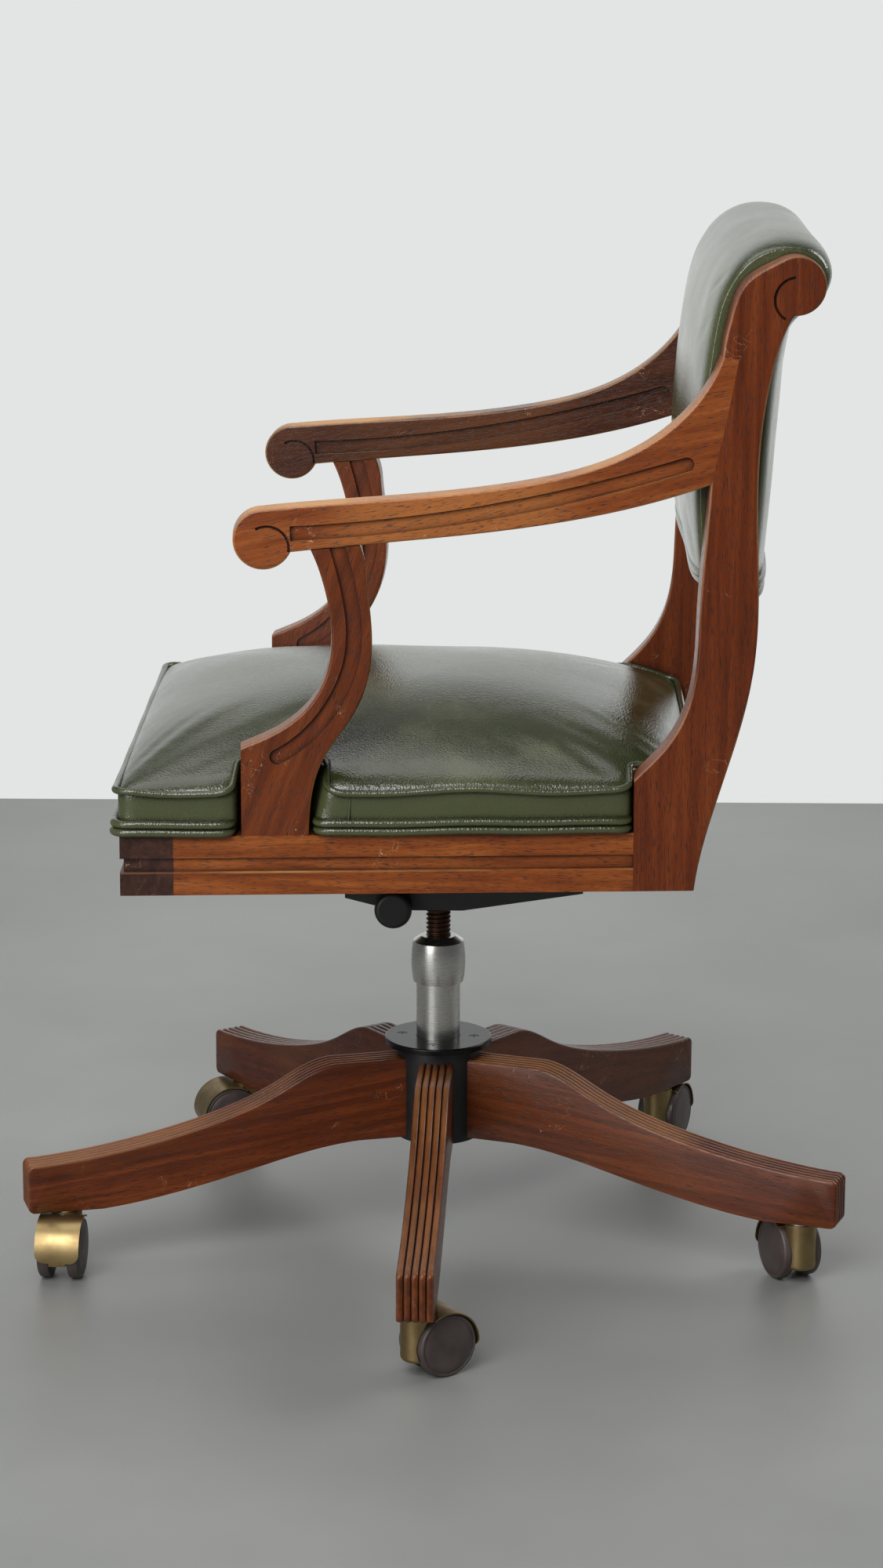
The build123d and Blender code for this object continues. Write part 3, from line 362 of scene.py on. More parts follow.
@dataclass(frozen=True)
class OliveLeather:
    """Dyed cowhide with a polished finish: pebbled grain, fine creases, paler where it is sat on, painted
    light on its upright faces and painted shade along its seams.
    """

    name: str = "olive_cowhide"
    deep: str = "1F230E"
    plain: str = "2B2F17"
    rubbed: str = "4C4E34"
    # Paler colour painted on upright faces as painted light.
    border: str = "484D31"
    crazed: str = "6E6C50"
    # Near-black green painted along seams and under cords as painted shade.
    seam_shade: str = "0E1008"
    grain_mm: float = 1.7
    crease_mm: float = 24.0
    seam_mm: float = 5.0
    warps_per_metre: float = 30.0
    creased_per_metre: float = 7.0
    clouds_per_metre: float = 11.0
    crease_tint: float = 0.16
    crease_sink: float = -0.4

    def furrows(self, tree: Tree, place: Socket) -> Socket:
        """Share of creases: the borders of bent cells, in scattered places.

        Args:
            tree: The material's node tree.
            place: Position in metres.

        Returns:
            The share, 0 off the creases.
        """
        warp = add(tree, "ShaderNodeTexNoise", {
            "Vector": place, "Scale": self.warps_per_metre, "Detail": 2.0,
        }).outputs["Color"]
        bent = add(tree, "ShaderNodeMixRGB", {"Fac": 0.03, "Color1": place, "Color2": warp}).outputs[0]
        crease = add(tree, "ShaderNodeTexVoronoi", {
            "Vector": bent, "Scale": 1000 / self.crease_mm,
        }, feature="DISTANCE_TO_EDGE").outputs["Distance"]
        furrow = add(tree, "ShaderNodeMapRange", {
            "Value": crease, "From Min": 0.0, "From Max": 0.035, "To Min": 1.0, "To Max": 0.0,
        }).outputs[0]
        spots = add(tree, "ShaderNodeTexNoise", {"Vector": place, "Scale": self.creased_per_metre})
        where = add(tree, "ShaderNodeMapRange", {
            "Value": spots.outputs["Fac"], "From Min": 0.50, "From Max": 0.62,
        }).outputs[0]
        return add(tree, "ShaderNodeMath", {0: furrow, 1: where}, operation="MULTIPLY").outputs[0]

    def make(self) -> Material:
        """Builds the material; the pebble is drawn a little coarser than the hide's so that it shows.

        Returns:
            The material.
        """
        material, tree, shader = blank(self.name, IOR=1.5, Specular_IOR_Level=0.58)
        place = add(tree, "ShaderNodeTexCoord").outputs["Object"]
        cloud = add(tree, "ShaderNodeTexNoise", {
            "Vector": place, "Scale": self.clouds_per_metre, "Detail": 4.0, "Roughness": 0.6,
        }).outputs["Fac"]
        dye = add(tree, "ShaderNodeValToRGB", {"Fac": cloud}, stops=[
            (0.30, self.deep), (0.52, self.plain), (0.78, self.rubbed),
        ]).outputs["Color"]
        # Painted light: upright faces, the border and the cords' sides, are mixed toward a paler colour so
        # that they read as lit.
        normal = add(tree, "ShaderNodeNewGeometry").outputs["Normal"]
        upright = add(tree, "ShaderNodeMapRange", {
            "Value": add(tree, "ShaderNodeSeparateXYZ", {"Vector": normal}).outputs["Z"],
            "From Min": 0.2, "From Max": 0.75, "To Min": 0.75, "To Max": 0.0,
        }).outputs[0]
        dye_with_lit_sides = add(tree, "ShaderNodeMixRGB", {
            "Fac": upright, "Color1": dye, "Color2": linear(self.border),
        }).outputs[0]
        furrows = self.furrows(tree, place)
        faint = add(tree, "ShaderNodeMath", {
            0: furrows, 1: self.crease_tint,
        }, operation="MULTIPLY").outputs[0]
        creased = add(tree, "ShaderNodeMixRGB", {
            "Fac": faint, "Color1": dye_with_lit_sides, "Color2": linear(self.crazed),
        }).outputs[0]
        # Painted shade: ambient occlusion darkens the leather along seams and under the cords.
        hollow = add(tree, "ShaderNodeAmbientOcclusion", {"Distance": self.seam_mm * MM}, samples=6)
        seam_shading = add(tree, "ShaderNodeMapRange", {
            "Value": hollow.outputs["AO"], "From Min": 0.3, "From Max": 0.8, "To Min": 0.8, "To Max": 0.0,
        }).outputs[0]
        colour = add(tree, "ShaderNodeMixRGB", {
            "Fac": seam_shading, "Color1": creased, "Color2": linear(self.seam_shade),
        }).outputs[0]
        tree.links.new(colour, shader.inputs["Base Color"])
        polish = add(tree, "ShaderNodeMapRange", {
            "Value": cloud, "From Min": 0.3, "From Max": 0.7, "To Min": 0.16, "To Max": 0.25,
        }).outputs[0]
        tree.links.new(polish, shader.inputs["Roughness"])
        pebble = add(tree, "ShaderNodeTexVoronoi", {"Vector": place, "Scale": 1000 / self.grain_mm})
        relief = add(tree, "ShaderNodeMath", {
            0: furrows, 1: self.crease_sink, 2: pebble.outputs["Distance"],
        }, operation="MULTIPLY_ADD").outputs[0]
        bump = add(tree, "ShaderNodeBump", {"Height": relief, "Strength": 0.36, "Distance": 0.0005})
        tree.links.new(bump.outputs[0], shader.inputs["Normal"])
        return material


@dataclass(frozen=True)
class Metal:
    """A turned or plated metal with fine tool rings about the column and patches of dullness."""

    name: str
    colour: str
    stain: str
    roughness: float = 0.28
    stain_share: float = 0.35
    ring_mm: float = 0.8
    bump: float = 0.12
    marks_around: float = 30.0
    clouds_per_metre: float = 45.0
    ring_dullness: float = 0.1
    stain_dullness: float = 0.25

    def make(self) -> Material:
        """Builds the material; tool rings are drawn wider than real ones so that they show.

        Returns:
            The material.
        """
        material, tree, shader = blank(self.name, Metallic=1.0)
        place = add(tree, "ShaderNodeTexCoord").outputs["Object"]
        rings = add(tree, "ShaderNodeVectorMath", {
            0: place, 1: (self.marks_around, self.marks_around, 1000 / self.ring_mm),
        }, operation="MULTIPLY").outputs[0]
        tool = add(tree, "ShaderNodeTexNoise", {"Vector": rings, "Scale": 1.0, "Detail": 3.0}).outputs["Fac"]
        cloud = add(tree, "ShaderNodeTexNoise", {
            "Vector": place, "Scale": self.clouds_per_metre, "Detail": 4.0,
        }).outputs["Fac"]
        dull = add(tree, "ShaderNodeMapRange", {
            "Value": cloud, "From Min": 0.42, "From Max": 0.68, "To Max": self.stain_share,
        }).outputs[0]
        colour = add(tree, "ShaderNodeMixRGB", {
            "Fac": dull, "Color1": linear(self.colour), "Color2": linear(self.stain),
        }).outputs[0]
        tree.links.new(colour, shader.inputs["Base Color"])
        ringed = add(tree, "ShaderNodeMath", {
            0: tool, 1: self.ring_dullness, 2: self.roughness - self.ring_dullness / 2,
        }, operation="MULTIPLY_ADD").outputs[0]
        rough = add(tree, "ShaderNodeMath", {
            0: dull, 1: self.stain_dullness, 2: ringed,
        }, operation="MULTIPLY_ADD").outputs[0]
        tree.links.new(rough, shader.inputs["Roughness"])
        bump = add(tree, "ShaderNodeBump", {"Height": tool, "Strength": self.bump, "Distance": 0.0002})
        tree.links.new(bump.outputs[0], shader.inputs["Normal"])
        return material


@dataclass(frozen=True)
class Coating:
    """A paint or moulded plastic: even colour with faint clouding, orange peel and dust."""

    name: str
    colour: str
    dust: str
    roughness: float = 0.4
    peel_mm: float = 2.0
    dust_share: float = 0.12
    shine: float = 0.5
    dust_dullness: float = 0.6
    clouds_per_metre: float = 60.0

    def make(self) -> Material:
        """Builds the material with its peel as a shallow bump.

        Returns:
            The material.
        """
        material, tree, shader = blank(self.name, IOR=1.5, Specular_IOR_Level=self.shine)
        place = add(tree, "ShaderNodeTexCoord").outputs["Object"]
        cloud = add(tree, "ShaderNodeTexNoise", {
            "Vector": place, "Scale": self.clouds_per_metre, "Detail": 4.0,
        }).outputs["Fac"]
        film = add(tree, "ShaderNodeMapRange", {
            "Value": cloud, "From Min": 0.4, "From Max": 0.7, "To Max": self.dust_share,
        }).outputs[0]
        colour = add(tree, "ShaderNodeMixRGB", {
            "Fac": film, "Color1": linear(self.colour), "Color2": linear(self.dust),
        }).outputs[0]
        tree.links.new(colour, shader.inputs["Base Color"])
        rough = add(tree, "ShaderNodeMath", {
            0: film, 1: self.dust_dullness, 2: self.roughness,
        }, operation="MULTIPLY_ADD").outputs[0]
        tree.links.new(rough, shader.inputs["Roughness"])
        peel = add(tree, "ShaderNodeTexNoise", {
            "Vector": place, "Scale": 1000 / self.peel_mm, "Detail": 1.0,
        })
        bump = add(tree, "ShaderNodeBump", {
            "Height": peel.outputs["Fac"], "Strength": 0.12, "Distance": 0.0002,
        })
        tree.links.new(bump.outputs[0], shader.inputs["Normal"])
        return material


def ring_angles(count: int) -> np.ndarray:
    """Even angles round a full turn."""
    return np.linspace(0.0, 2 * np.pi, count, endpoint=False)


def unit(vectors: np.ndarray) -> np.ndarray:
    """Scales vectors along the last axis to length 1."""
    return vectors / np.maximum(np.linalg.norm(vectors, axis=-1, keepdims=True), 1e-12)


def tidy(mesh: bpy.types.Mesh) -> None:
    """Merges doubled points, splits end faces, turns faces outwards and shades up to sharp corners.

    Args:
        mesh: The mesh, which is changed.
    """
    form = bmesh.new()
    form.from_mesh(mesh)
    bmesh.ops.remove_doubles(form, verts=form.verts, dist=MERGE_DISTANCE)
    bmesh.ops.dissolve_degenerate(form, edges=form.edges, dist=DEGENERATE_LENGTH)
    bmesh.ops.triangulate(form, faces=[face for face in form.faces if len(face.verts) > 4])
    bmesh.ops.recalc_face_normals(form, faces=form.faces)
    form.to_mesh(mesh)
    form.free()
    mesh.polygons.foreach_set("use_smooth", np.ones(len(mesh.polygons), dtype=bool))
    mesh.set_sharp_from_angle(angle=SHARP_CORNER)
    mesh.update()


def grid_object(name: str, points: np.ndarray, wrap_rows: bool = False, wrap_columns: bool = False,
                capped: bool = False) -> Piece:
    """Makes a smooth mesh object from a grid of points, with doubles merged and faces outwards.

    Args:
        name: The object's name.
        points: Rows by columns by three coordinates, in metres.
        wrap_rows: Whether the last row joins the first.
        wrap_columns: Whether the last column joins the first.
        capped: Whether the first and last rows are closed with a face each.

    Returns:
        The linked object.
    """
    rows, columns = points.shape[:2]
    row = np.arange(rows if wrap_rows else rows - 1)[:, None]
    first = row * columns
    after = (row + 1) % rows * columns
    left = np.arange(columns if wrap_columns else columns - 1)[None, :]
    right = (left + 1) % columns
    quads = np.stack([first + left, first + right, after + right, after + left], axis=-1)
    faces = quads.reshape(-1, 4).tolist()
    if capped:
        faces += [list(range(columns)), list(range((rows - 1) * columns, rows * columns))]
    mesh = bpy.data.meshes.new(name)
    mesh.from_pydata(points.reshape(-1, 3).tolist(), [], faces)
    tidy(mesh)
    piece = bpy.data.objects.new(name, mesh)
    bpy.context.scene.collection.objects.link(piece)
    return piece


def tube_points(path: np.ndarray, radius: float, closed: bool) -> np.ndarray:
    """A round profile carried along a path: each ring lies across the path, one axis as level as it can be.

    Args:
        path: The points of the middle line.
        radius: Radius of the tube.
        closed: Whether the path's end joins its start.

    Returns:
        Rings by sides by three coordinates.
    """
    if closed:
        ahead = np.roll(path, -1, axis=0) - np.roll(path, 1, axis=0)
    else:
        ahead = np.gradient(path, axis=0)
    ahead = unit(ahead)
    level = unit(np.cross(ahead, UPRIGHT))
    upright = np.cross(level, ahead)
    angle = ring_angles(CORD_SIDES)[None, :, None]
    ring = np.cos(angle) * level[:, None, :] + np.sin(angle) * upright[:, None, :]
    return path[:, None, :] + radius * ring


def rounded(corners: np.ndarray, radii: np.ndarray, spacing: float, arc_points: int = 9) -> np.ndarray:
    """A closed plan outline with each corner replaced by an arc, then walked at an even spacing.

    Args:
        corners: Corner points in order, two coordinates each.
        radii: The arc radius at each corner.
        spacing: Distance between the points that are returned.
        arc_points: Points on each arc before the walk.

    Returns:
        Points along the outline.
    """
    before = unit(np.roll(corners, 1, axis=0) - corners)
    after = unit(np.roll(corners, -1, axis=0) - corners)
    half = np.arccos(np.clip((before * after).sum(axis=1), -1.0, 1.0)) / 2
    reach = radii / np.tan(half)
    middle = corners + unit(before + after) * (radii / np.sin(half))[:, None]
    start = corners + before * reach[:, None] - middle
    end = corners + after * reach[:, None] - middle
    turn = np.pi - 2 * half
    cross = start[:, 0] * end[:, 1] - start[:, 1] * end[:, 0]
    swing = np.linspace(0.0, 1.0, arc_points)[None, :] * (turn * np.sign(cross))[:, None]
    arcs = np.stack([
        middle[:, None, 0] + start[:, None, 0] * np.cos(swing) - start[:, None, 1] * np.sin(swing),
        middle[:, None, 1] + start[:, None, 0] * np.sin(swing) + start[:, None, 1] * np.cos(swing),
    ], axis=-1).reshape(-1, 2)
    loop = np.vstack([arcs, arcs[:1]])
    walked = np.concatenate([[0.0], np.cumsum(np.linalg.norm(np.diff(loop, axis=0), axis=1))])
    count = int(walked[-1] / spacing)
    places = np.linspace(0.0, walked[-1], count, endpoint=False)
    return np.stack([np.interp(places, walked, loop[:, axis]) for axis in (0, 1)], axis=-1)


def closed_curve(controls: np.ndarray, count: int) -> np.ndarray:
    """A smooth closed curve through points: each span is a cubic with the neighbours' chord as its slope.

    Args:
        controls: Control points in order.
        count: Number of points wanted.

    Returns:
        Points along the curve.
    """
    place = np.linspace(0.0, len(controls), count, endpoint=False)
    index = np.floor(place).astype(int)
    part = (place - index)[:, None]
    before, start, end, after = (controls[(index + step) % len(controls)] for step in (-1, 0, 1, 2))
    square = 2 * before - 5 * start + 4 * end - after
    cube = 3 * start - before - 3 * end + after
    return 0.5 * (2 * start + (end - before) * part + square * part ** 2 + cube * part ** 3)


def clamped_curve(points: np.ndarray, start: np.ndarray, end: np.ndarray, count: int) -> np.ndarray:
    """A smooth open curve with set end directions: cubic spans whose curvature runs on at each point.

    Args:
        points: Points in order.
        start: Direction at the first point.
        end: Direction at the last point.
        count: Number of points wanted.

    Returns:
        Points along the curve.
    """
    span = np.linalg.norm(np.diff(points, axis=0), axis=1)
    knots = np.concatenate([[0.0], np.cumsum(span)])
    size = len(points)
    inner = np.arange(1, size - 1)
    matrix = np.eye(size)
    matrix[inner, inner - 1] = span[1:]
    matrix[inner, inner + 1] = span[:-1]
    matrix[inner, inner] = 2 * (span[1:] + span[:-1])
    chord = np.diff(points, axis=0) / span[:, None]
    right = np.zeros_like(points)
    right[0] = unit(start)
    right[-1] = unit(end)
    right[inner] = 3 * (span[1:, None] * chord[:-1] + span[:-1, None] * chord[1:])
    slope = np.linalg.solve(matrix, right)
    place = np.linspace(0.0, knots[-1], count)
    index = np.clip(np.searchsorted(knots, place, side="right") - 1, 0, size - 2)
    part = ((place - knots[index]) / span[index])[:, None]
    leaving = slope[index] * span[index, None]
    arriving = slope[index + 1] * span[index, None]
    return (points[index] * (2 * part ** 3 - 3 * part ** 2 + 1)
            + leaving * (part ** 3 - 2 * part ** 2 + part)
            + points[index + 1] * (3 * part ** 2 - 2 * part ** 3)
            + arriving * (part ** 3 - part ** 2))


def shown_mesh(piece: Piece) -> bpy.types.Mesh:
    """The piece's mesh with its modifiers carried out, as a new mesh."""
    return bpy.data.meshes.new_from_object(piece.evaluated_get(bpy.context.evaluated_depsgraph_get()))


def inflate(piece: Piece, voxel: float | None, cap: float,
            freedom: Callable[[np.ndarray], np.ndarray]) -> None:
    """Fills a sewn cover: cloth simulation blows up an even skin, and no point moves further than a cap.

    Args:
        piece: The cover, which is changed.
        voxel: Size of the even skin's cells, or None where the cover's own grid is even enough.
        cap: Furthest that a point may move.
        freedom: Gives each point's share of the movement, 0 where it is held.
    """
    if voxel:
        skin = piece.modifiers.new("even_skin", "REMESH")
        skin.mode = "VOXEL"
        skin.voxel_size = voxel
        piece.data = shown_mesh(piece)
        piece.modifiers.clear()
    even = piece.data
    start = np.empty(len(even.vertices) * 3)
    even.vertices.foreach_get("co", start)
    end = np.empty_like(start)
    start = start.reshape(-1, 3)
    free = freedom(start)
    held = piece.vertex_groups.new(name="held")
    held.add(np.flatnonzero(free < HELD_BELOW).tolist(), 1.0, "REPLACE")
    cloth = piece.modifiers.new("filling", "CLOTH")
    cloth.settings.use_pressure = True
    cloth.settings.uniform_pressure_force = FILL_PRESSURE
    cloth.settings.effector_weights.gravity = 0.0
    cloth.settings.vertex_group_mass = "held"
    cloth.settings.quality = 4
    scene = bpy.context.scene
    for step in range(1, FILL_STEPS + 1):
        scene.frame_set(step)
    blown = shown_mesh(piece)
    blown.vertices.foreach_get("co", end)
    move = end.reshape(-1, 3) - start
    size = np.linalg.norm(move, axis=1, keepdims=True)
    move = move * np.minimum(1.0, cap / np.maximum(size, 1e-9)) * free[:, None]
    piece.modifiers.clear()
    piece.vertex_groups.clear()
    even.vertices.foreach_set("co", (start + move).ravel())
    even.polygons.foreach_set("use_smooth", np.ones(len(even.polygons), dtype=bool))
    even.update()
    bpy.data.meshes.remove(blown)
    scene.frame_set(1)
    if voxel:
        ease = piece.modifiers.new("ease", "SMOOTH")
        ease.factor = 0.5
        ease.iterations = 5
    finer = piece.modifiers.new("finer", "SUBSURF")
    finer.levels = 1
    finer.render_levels = 1


def place_piece(piece: Piece, body: str, material: Material, slot: str, *nodes: str) -> None:
    """Dresses a new piece, lets it ride on a body and stand for nodes of the frame.

    Args:
        piece: The new piece.
        body: The body that it moves with.
        material: Its finish.
        slot: The record's material slot; it is not used.
        nodes: The frame's nodes that it stands for.
    """
    piece.data.materials.clear()
    piece.data.materials.append(material)
    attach(piece, body)
    if nodes:
        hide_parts(*nodes)
    log.info("built %s on %s with %s", piece.name, body, material.name)


def dress(material: Material, *nodes: str) -> None:
    """Gives nodes of the frame a finish.

    Args:
        material: The finish.
        nodes: The nodes' names.
    """
    for name in nodes:
        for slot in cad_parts[name].material_slots:
            slot.material = material
        log.info("dressed %s in %s", name, material.name)


@dataclass(frozen=True)
class SidePlane:
    """Where the side frames stand: distance at depth 0, splay and board thickness."""

    offset: float = 0.2433
    splay: float = math.radians(3.326)
    board: float = 0.026

    def outer(self, depth: np.ndarray) -> np.ndarray:
        """Distance of the outer face from the centre plane at a depth."""
        return self.offset - depth * math.tan(self.splay)

    def inner(self, depth: np.ndarray) -> np.ndarray:
        """Distance of the inner face from the centre plane at a depth."""
        return self.outer(depth) - self.board / math.cos(self.splay)


@dataclass
class SeatCushion:
    """The seat: a crowned top panel, a drawn-in border, a piped top seam and a double welt on the rail."""

    plane: SidePlane
    front: float = -0.262
    rear: float = 0.218
    overhang: float = 0.0025
    bottom: float = RAIL_TOP + 0.0003
    rim: float = RAIL_TOP + 0.037
    crown: float = 0.052
    arch_power: float = 2.5
    arch_root: float = 0.625
    length_power: int = 3
    front_fullness: float = 0.5
    rear_fullness: float = 0.7
    settled: float = 0.0012
    settled_fine: float = 0.0008
    settled_waves: tuple[float, float] = (17.0, 14.0)
    fine_waves: tuple[float, float] = (9.0, 31.0)
    seam_sway: float = 0.0016
    sway_waves: float = 38.0
    front_lift: float = 0.004
    front_lift_fade: float = 0.02
    notch_slope: float = 0.022
    drawn_in: float = 0.003
    border_rows: int = 9
    panel_rows: int = 46
    panel_closeness: float = 1.7
    seam_fade: float = 0.016
    stitch_depth: float = 0.0022
    stitch_fade: float = 0.006
    heart_share: float = 0.9
    heart_front: float = -0.20
    heart_rear: float = 0.17
    support_front: float = -0.159
    support_rear: float = -0.103
    support_lean: float = 0.0108
    support_lean_share: float = 0.96
    wall_fade_front: float = 0.02
    wall_fade_rear: float = 0.045
    wall_margin: float = 0.003
    notch_start: float = 0.0045
    notch_gap: float = 0.0008
    post_front: float = 0.165
    post_gap: float = 0.0004
    tuck: float = 0.0003
    corner_radii: tuple[float, ...] = (0.012, 0.007, 0.005, 0.005, 0.009, 0.009, 0.005, 0.009)
    fold_sources: tuple[tuple[float, float, float, float], ...] = (
        (0.226, -0.165, 9.0, 0.0009), (0.218, -0.092, 8.0, 0.0012), (0.206, 0.165, 9.0, 0.0014),
    )
    fold_fade: float = 0.035
    fold_start: float = 0.012
    fold_twist: float = 60.0
    piping: float = 0.0031
    welt: float = 0.0036
    welt_upper: float = 0.0105
    welt_lower: float = 0.0038
    ridge: float = 0.0011
    ridge_sides: int = 8
    ridge_rows: int = 9
    ridge_behind: float = 0.034
    ridge_foot: float = 0.012
    ridge_head: float = 0.002
    ridge_lean: float = 0.002
    ridge_height: float = 0.03
    spacing: float = 0.004
    smoothing: int = 9
    wander: tuple[tuple[float, float, float], ...] = ((0.0004, 0.23, 0.0), (0.0003, 0.061, 2.0))
    voxel: float = 0.005
    fill_cap: float = 0.004
    fill_start: float = 0.004
    fill_rise: float = 0.012
    fill_depth: float = 0.02

    def outline(self, proud: float, sunk: float) -> np.ndarray:
        """Plan of the cushion, notched round the arm supports and the posts.

        Args:
            proud: How far the free sides stand out.
            sunk: How far the notches are set back.

        Returns:
            Points round the plan, the east half mirrored on the west.
        """
        slope = self.support_front - self.notch_start - sunk
        notch = self.support_front - self.notch_gap - sunk
        wall = self.support_rear + self.support_lean + sunk
        post = self.post_front - self.post_gap - sunk
        side = self.overhang + proud
        tuck = -self.tuck - sunk
        depth = np.array([self.front - proud, slope, notch, wall, wall, post, post, self.rear + proud])
        lean = np.array([side, side, tuck, tuck, side, side, tuck, tuck])
        out = np.where(lean > 0, self.plane.outer(depth), self.plane.inner(depth)) + lean
        east = np.stack([out, depth], axis=-1)
        west = east[::-1] * np.array([-1.0, 1.0])
        radius = np.array(self.corner_radii)
        return rounded(np.vstack([east, west]), np.concatenate([radius, radius[::-1]]), self.spacing)

    def top(self, x: np.ndarray, y: np.ndarray) -> np.ndarray:
        """Height of the top panel: the crown times a full arch across and a fuller arch from front to rear.

        Args:
            x: Places across the seat.
            y: Places from front to rear.

        Returns:
            The heights, with two slow waves where the stuffing has settled.
        """
        half = self.plane.outer(y) + self.overhang
        across = (1 - np.minimum(np.abs(x) / half, 1.0) ** self.arch_power) ** self.arch_root
        middle = (self.front + self.rear) / 2
        reach = (self.rear - self.front) / 2
        fullness = np.where(y < middle, self.front_fullness, self.rear_fullness)
        along = (1 - np.minimum(np.abs(y - middle) / reach, 1.0) ** self.length_power) ** fullness
        slow_x, slow_y = self.settled_waves
        fine_x, fine_y = self.fine_waves
        waves = (self.settled * np.sin(slow_x * x + 1.0) * np.cos(slow_y * y - 0.4)
                 + self.settled_fine * np.sin(fine_y * y + fine_x * x))
        return self.rim + self.crown * across * along + waves * across * along

    def seam(self, x: np.ndarray, y: np.ndarray) -> np.ndarray:
        """Height of the top seam: a slow sway on the free sides, up to the crowned panel in the notches.

        Args:
            x: Places across the seat.
            y: Places from front to rear.

        Returns:
            The heights.
        """
        inside = np.clip((self.plane.outer(y) + self.overhang - np.abs(x)) / self.notch_slope, 0.0, 1.0)
        inside = inside ** 2 * (3 - 2 * inside)
        lift = self.front_lift * np.exp(-(y - self.front) / self.front_lift_fade)
        sway = self.seam_sway * np.sin(self.sway_waves * y + 0.6) + lift
        return self.rim + inside * (self.top(x, y) - self.rim) + (1 - inside) * sway

    def beside_support(self, edge: np.ndarray, rise: np.ndarray) -> np.ndarray:
        """The plan with the notch's rear wall brought forward low down, as the support's edge leans forward.

        Args:
            edge: Points of the plan.
            rise: Shares of the border's height, as a column.

        Returns:
            Heights by points by two coordinates.
        """
        past = edge[:, 1] - (self.support_rear + self.support_lean)
        near = np.clip(np.minimum(past / self.wall_fade_front + 1, 1 - past / self.wall_fade_rear), 0.0, 1.0)
        near = near * (np.abs(edge[:, 0]) > self.plane.inner(edge[:, 1]) - self.wall_margin)
        depth = edge[None, :, 1] - self.support_lean_share * self.support_lean * (1 - rise) * near[None]
        return np.stack([np.broadcast_to(edge[None, :, 0], depth.shape), depth], axis=-1)

    def folds(self, x: np.ndarray, y: np.ndarray) -> np.ndarray:
        """Pulled folds: waves that fan out from the notches and rear corners and soon die away.

        Args:
            x: Places across the seat.
            y: Places from front to rear.

        Returns:
            What the folds add to the height.
        """
        total = np.zeros_like(x)
        for at_x, at_y, waves, depth in self.fold_sources:
            away = np.hypot(np.abs(x) - at_x, y - at_y)
            angle = np.arctan2(y - at_y, np.abs(x) - at_x)
            fan = depth * np.sin(waves * angle + self.fold_twist * away)
            total += fan * np.exp(-away / self.fold_fade) * np.minimum(away / self.fold_start, 1.0)
        return total

    def cover(self) -> np.ndarray:
        """The cover as rows round the outline: base, drawn-in border, then the top drawn to a middle line.

        Returns:
            Rows by points by three coordinates.
        """
        edge = self.outline(0.0, 0.0)
        x, y = edge[:, 0], edge[:, 1]
        seam = self.seam(x, y)
        line = self.heart_share * np.clip(y, self.heart_front, self.heart_rear)
        heart = np.stack([np.zeros_like(y), line], axis=-1)
        rise = np.linspace(0.0, 1.0, self.border_rows)[:, None]
        draw = 4 * self.drawn_in * rise * (1 - rise)
        border = self.beside_support(edge, rise) + unit(heart - edge)[None] * draw[..., None]
        border_z = self.bottom + (seam[None] - self.bottom) * rise
        share = (np.linspace(0.0, 1.0, self.panel_rows)[1:] ** self.panel_closeness)[:, None]
        panel = edge[None] + (heart - edge)[None] * share[..., None]
        away = share * np.linalg.norm(heart - edge, axis=1)[None]
        stitched = self.stitch_depth * np.exp(-away / self.stitch_fade)
        sewn = (seam - self.top(x, y))[None] * np.exp(-away / self.seam_fade) - stitched
        panel_z = self.top(panel[..., 0], panel[..., 1]) + sewn + self.folds(panel[..., 0], panel[..., 1])
        base = np.concatenate([heart, np.full((len(edge), 1), self.bottom)], axis=-1)[None]
        sides = np.concatenate([border, border_z[..., None]], axis=-1)
        tops = np.concatenate([panel, panel_z[..., None]], axis=-1)
        return np.concatenate([base, sides, tops], axis=0)

    def cord(self, name: str, proud: float, sunk: float, height: float | None, radius: float) -> Piece:
        """A sewn cord round the plan, at one height or along the top seam.

        Args:
            name: The piece's name.
            proud: How far it stands out.
            sunk: How far it is set back in the notches.
            height: Its height, or None to follow the top seam.
            radius: Its radius.

        Returns:
            The piece.
        """
        edge = self.outline(proud, sunk)
        if height is None:
            z = self.seam(edge[:, 0], edge[:, 1])
        else:
            z = np.full(len(edge), height)
            edge = self.beside_support(edge, np.zeros((1, 1)))[0]
        reach = self.smoothing // 2
        even = np.ones(self.smoothing) / self.smoothing
        z = np.convolve(np.concatenate([z[-reach:], z, z[:reach]]), even, mode="valid")
        step = np.arange(len(edge))
        wander = sum(size * np.sin(step * pace + phase) for size, pace, phase in self.wander)
        path = np.concatenate([edge, (z + wander)[:, None]], axis=-1)
        return grid_object(name, tube_points(path, radius, True), wrap_rows=True, wrap_columns=True)

    def border_seam(self, side: Side) -> Piece:
        """An upright sewn ridge on the border behind one arm support: a small ring carried up the border.

        Args:
            side: The side of the chair.

        Returns:
            The piece.
        """
        depth = self.support_rear + self.ridge_behind
        x = side.value * (self.plane.outer(depth) + self.overhang - 2 * self.ridge)
        z = np.linspace(self.bottom + self.ridge_foot, self.rim - self.ridge_head, self.ridge_rows)
        y = depth + self.ridge_lean * (z - self.rim) / self.ridge_height
        path = np.stack([np.full(self.ridge_rows, x), y, z], axis=-1)
        angle = ring_angles(self.ridge_sides)
        ring = self.ridge * np.stack([np.cos(angle), np.sin(angle), np.zeros(self.ridge_sides)], axis=-1)
        name = f"seat_border_seam_{side.label}"
        return grid_object(name, path[:, None, :] + ring[None], wrap_columns=True, capped=True)

    def freedom(self, points: np.ndarray) -> np.ndarray:
        """Share of the filling's movement: none below the rim, full on the top panel.

        Args:
            points: Points of the cover.

        Returns:
            The share at each point.
        """
        above = np.clip((points[:, 2] - self.rim - self.fill_start) / self.fill_rise, 0.0, 1.0)
        below = np.abs(points[:, 2] - self.top(points[:, 0], points[:, 1]))
        return above * (below < self.fill_depth)

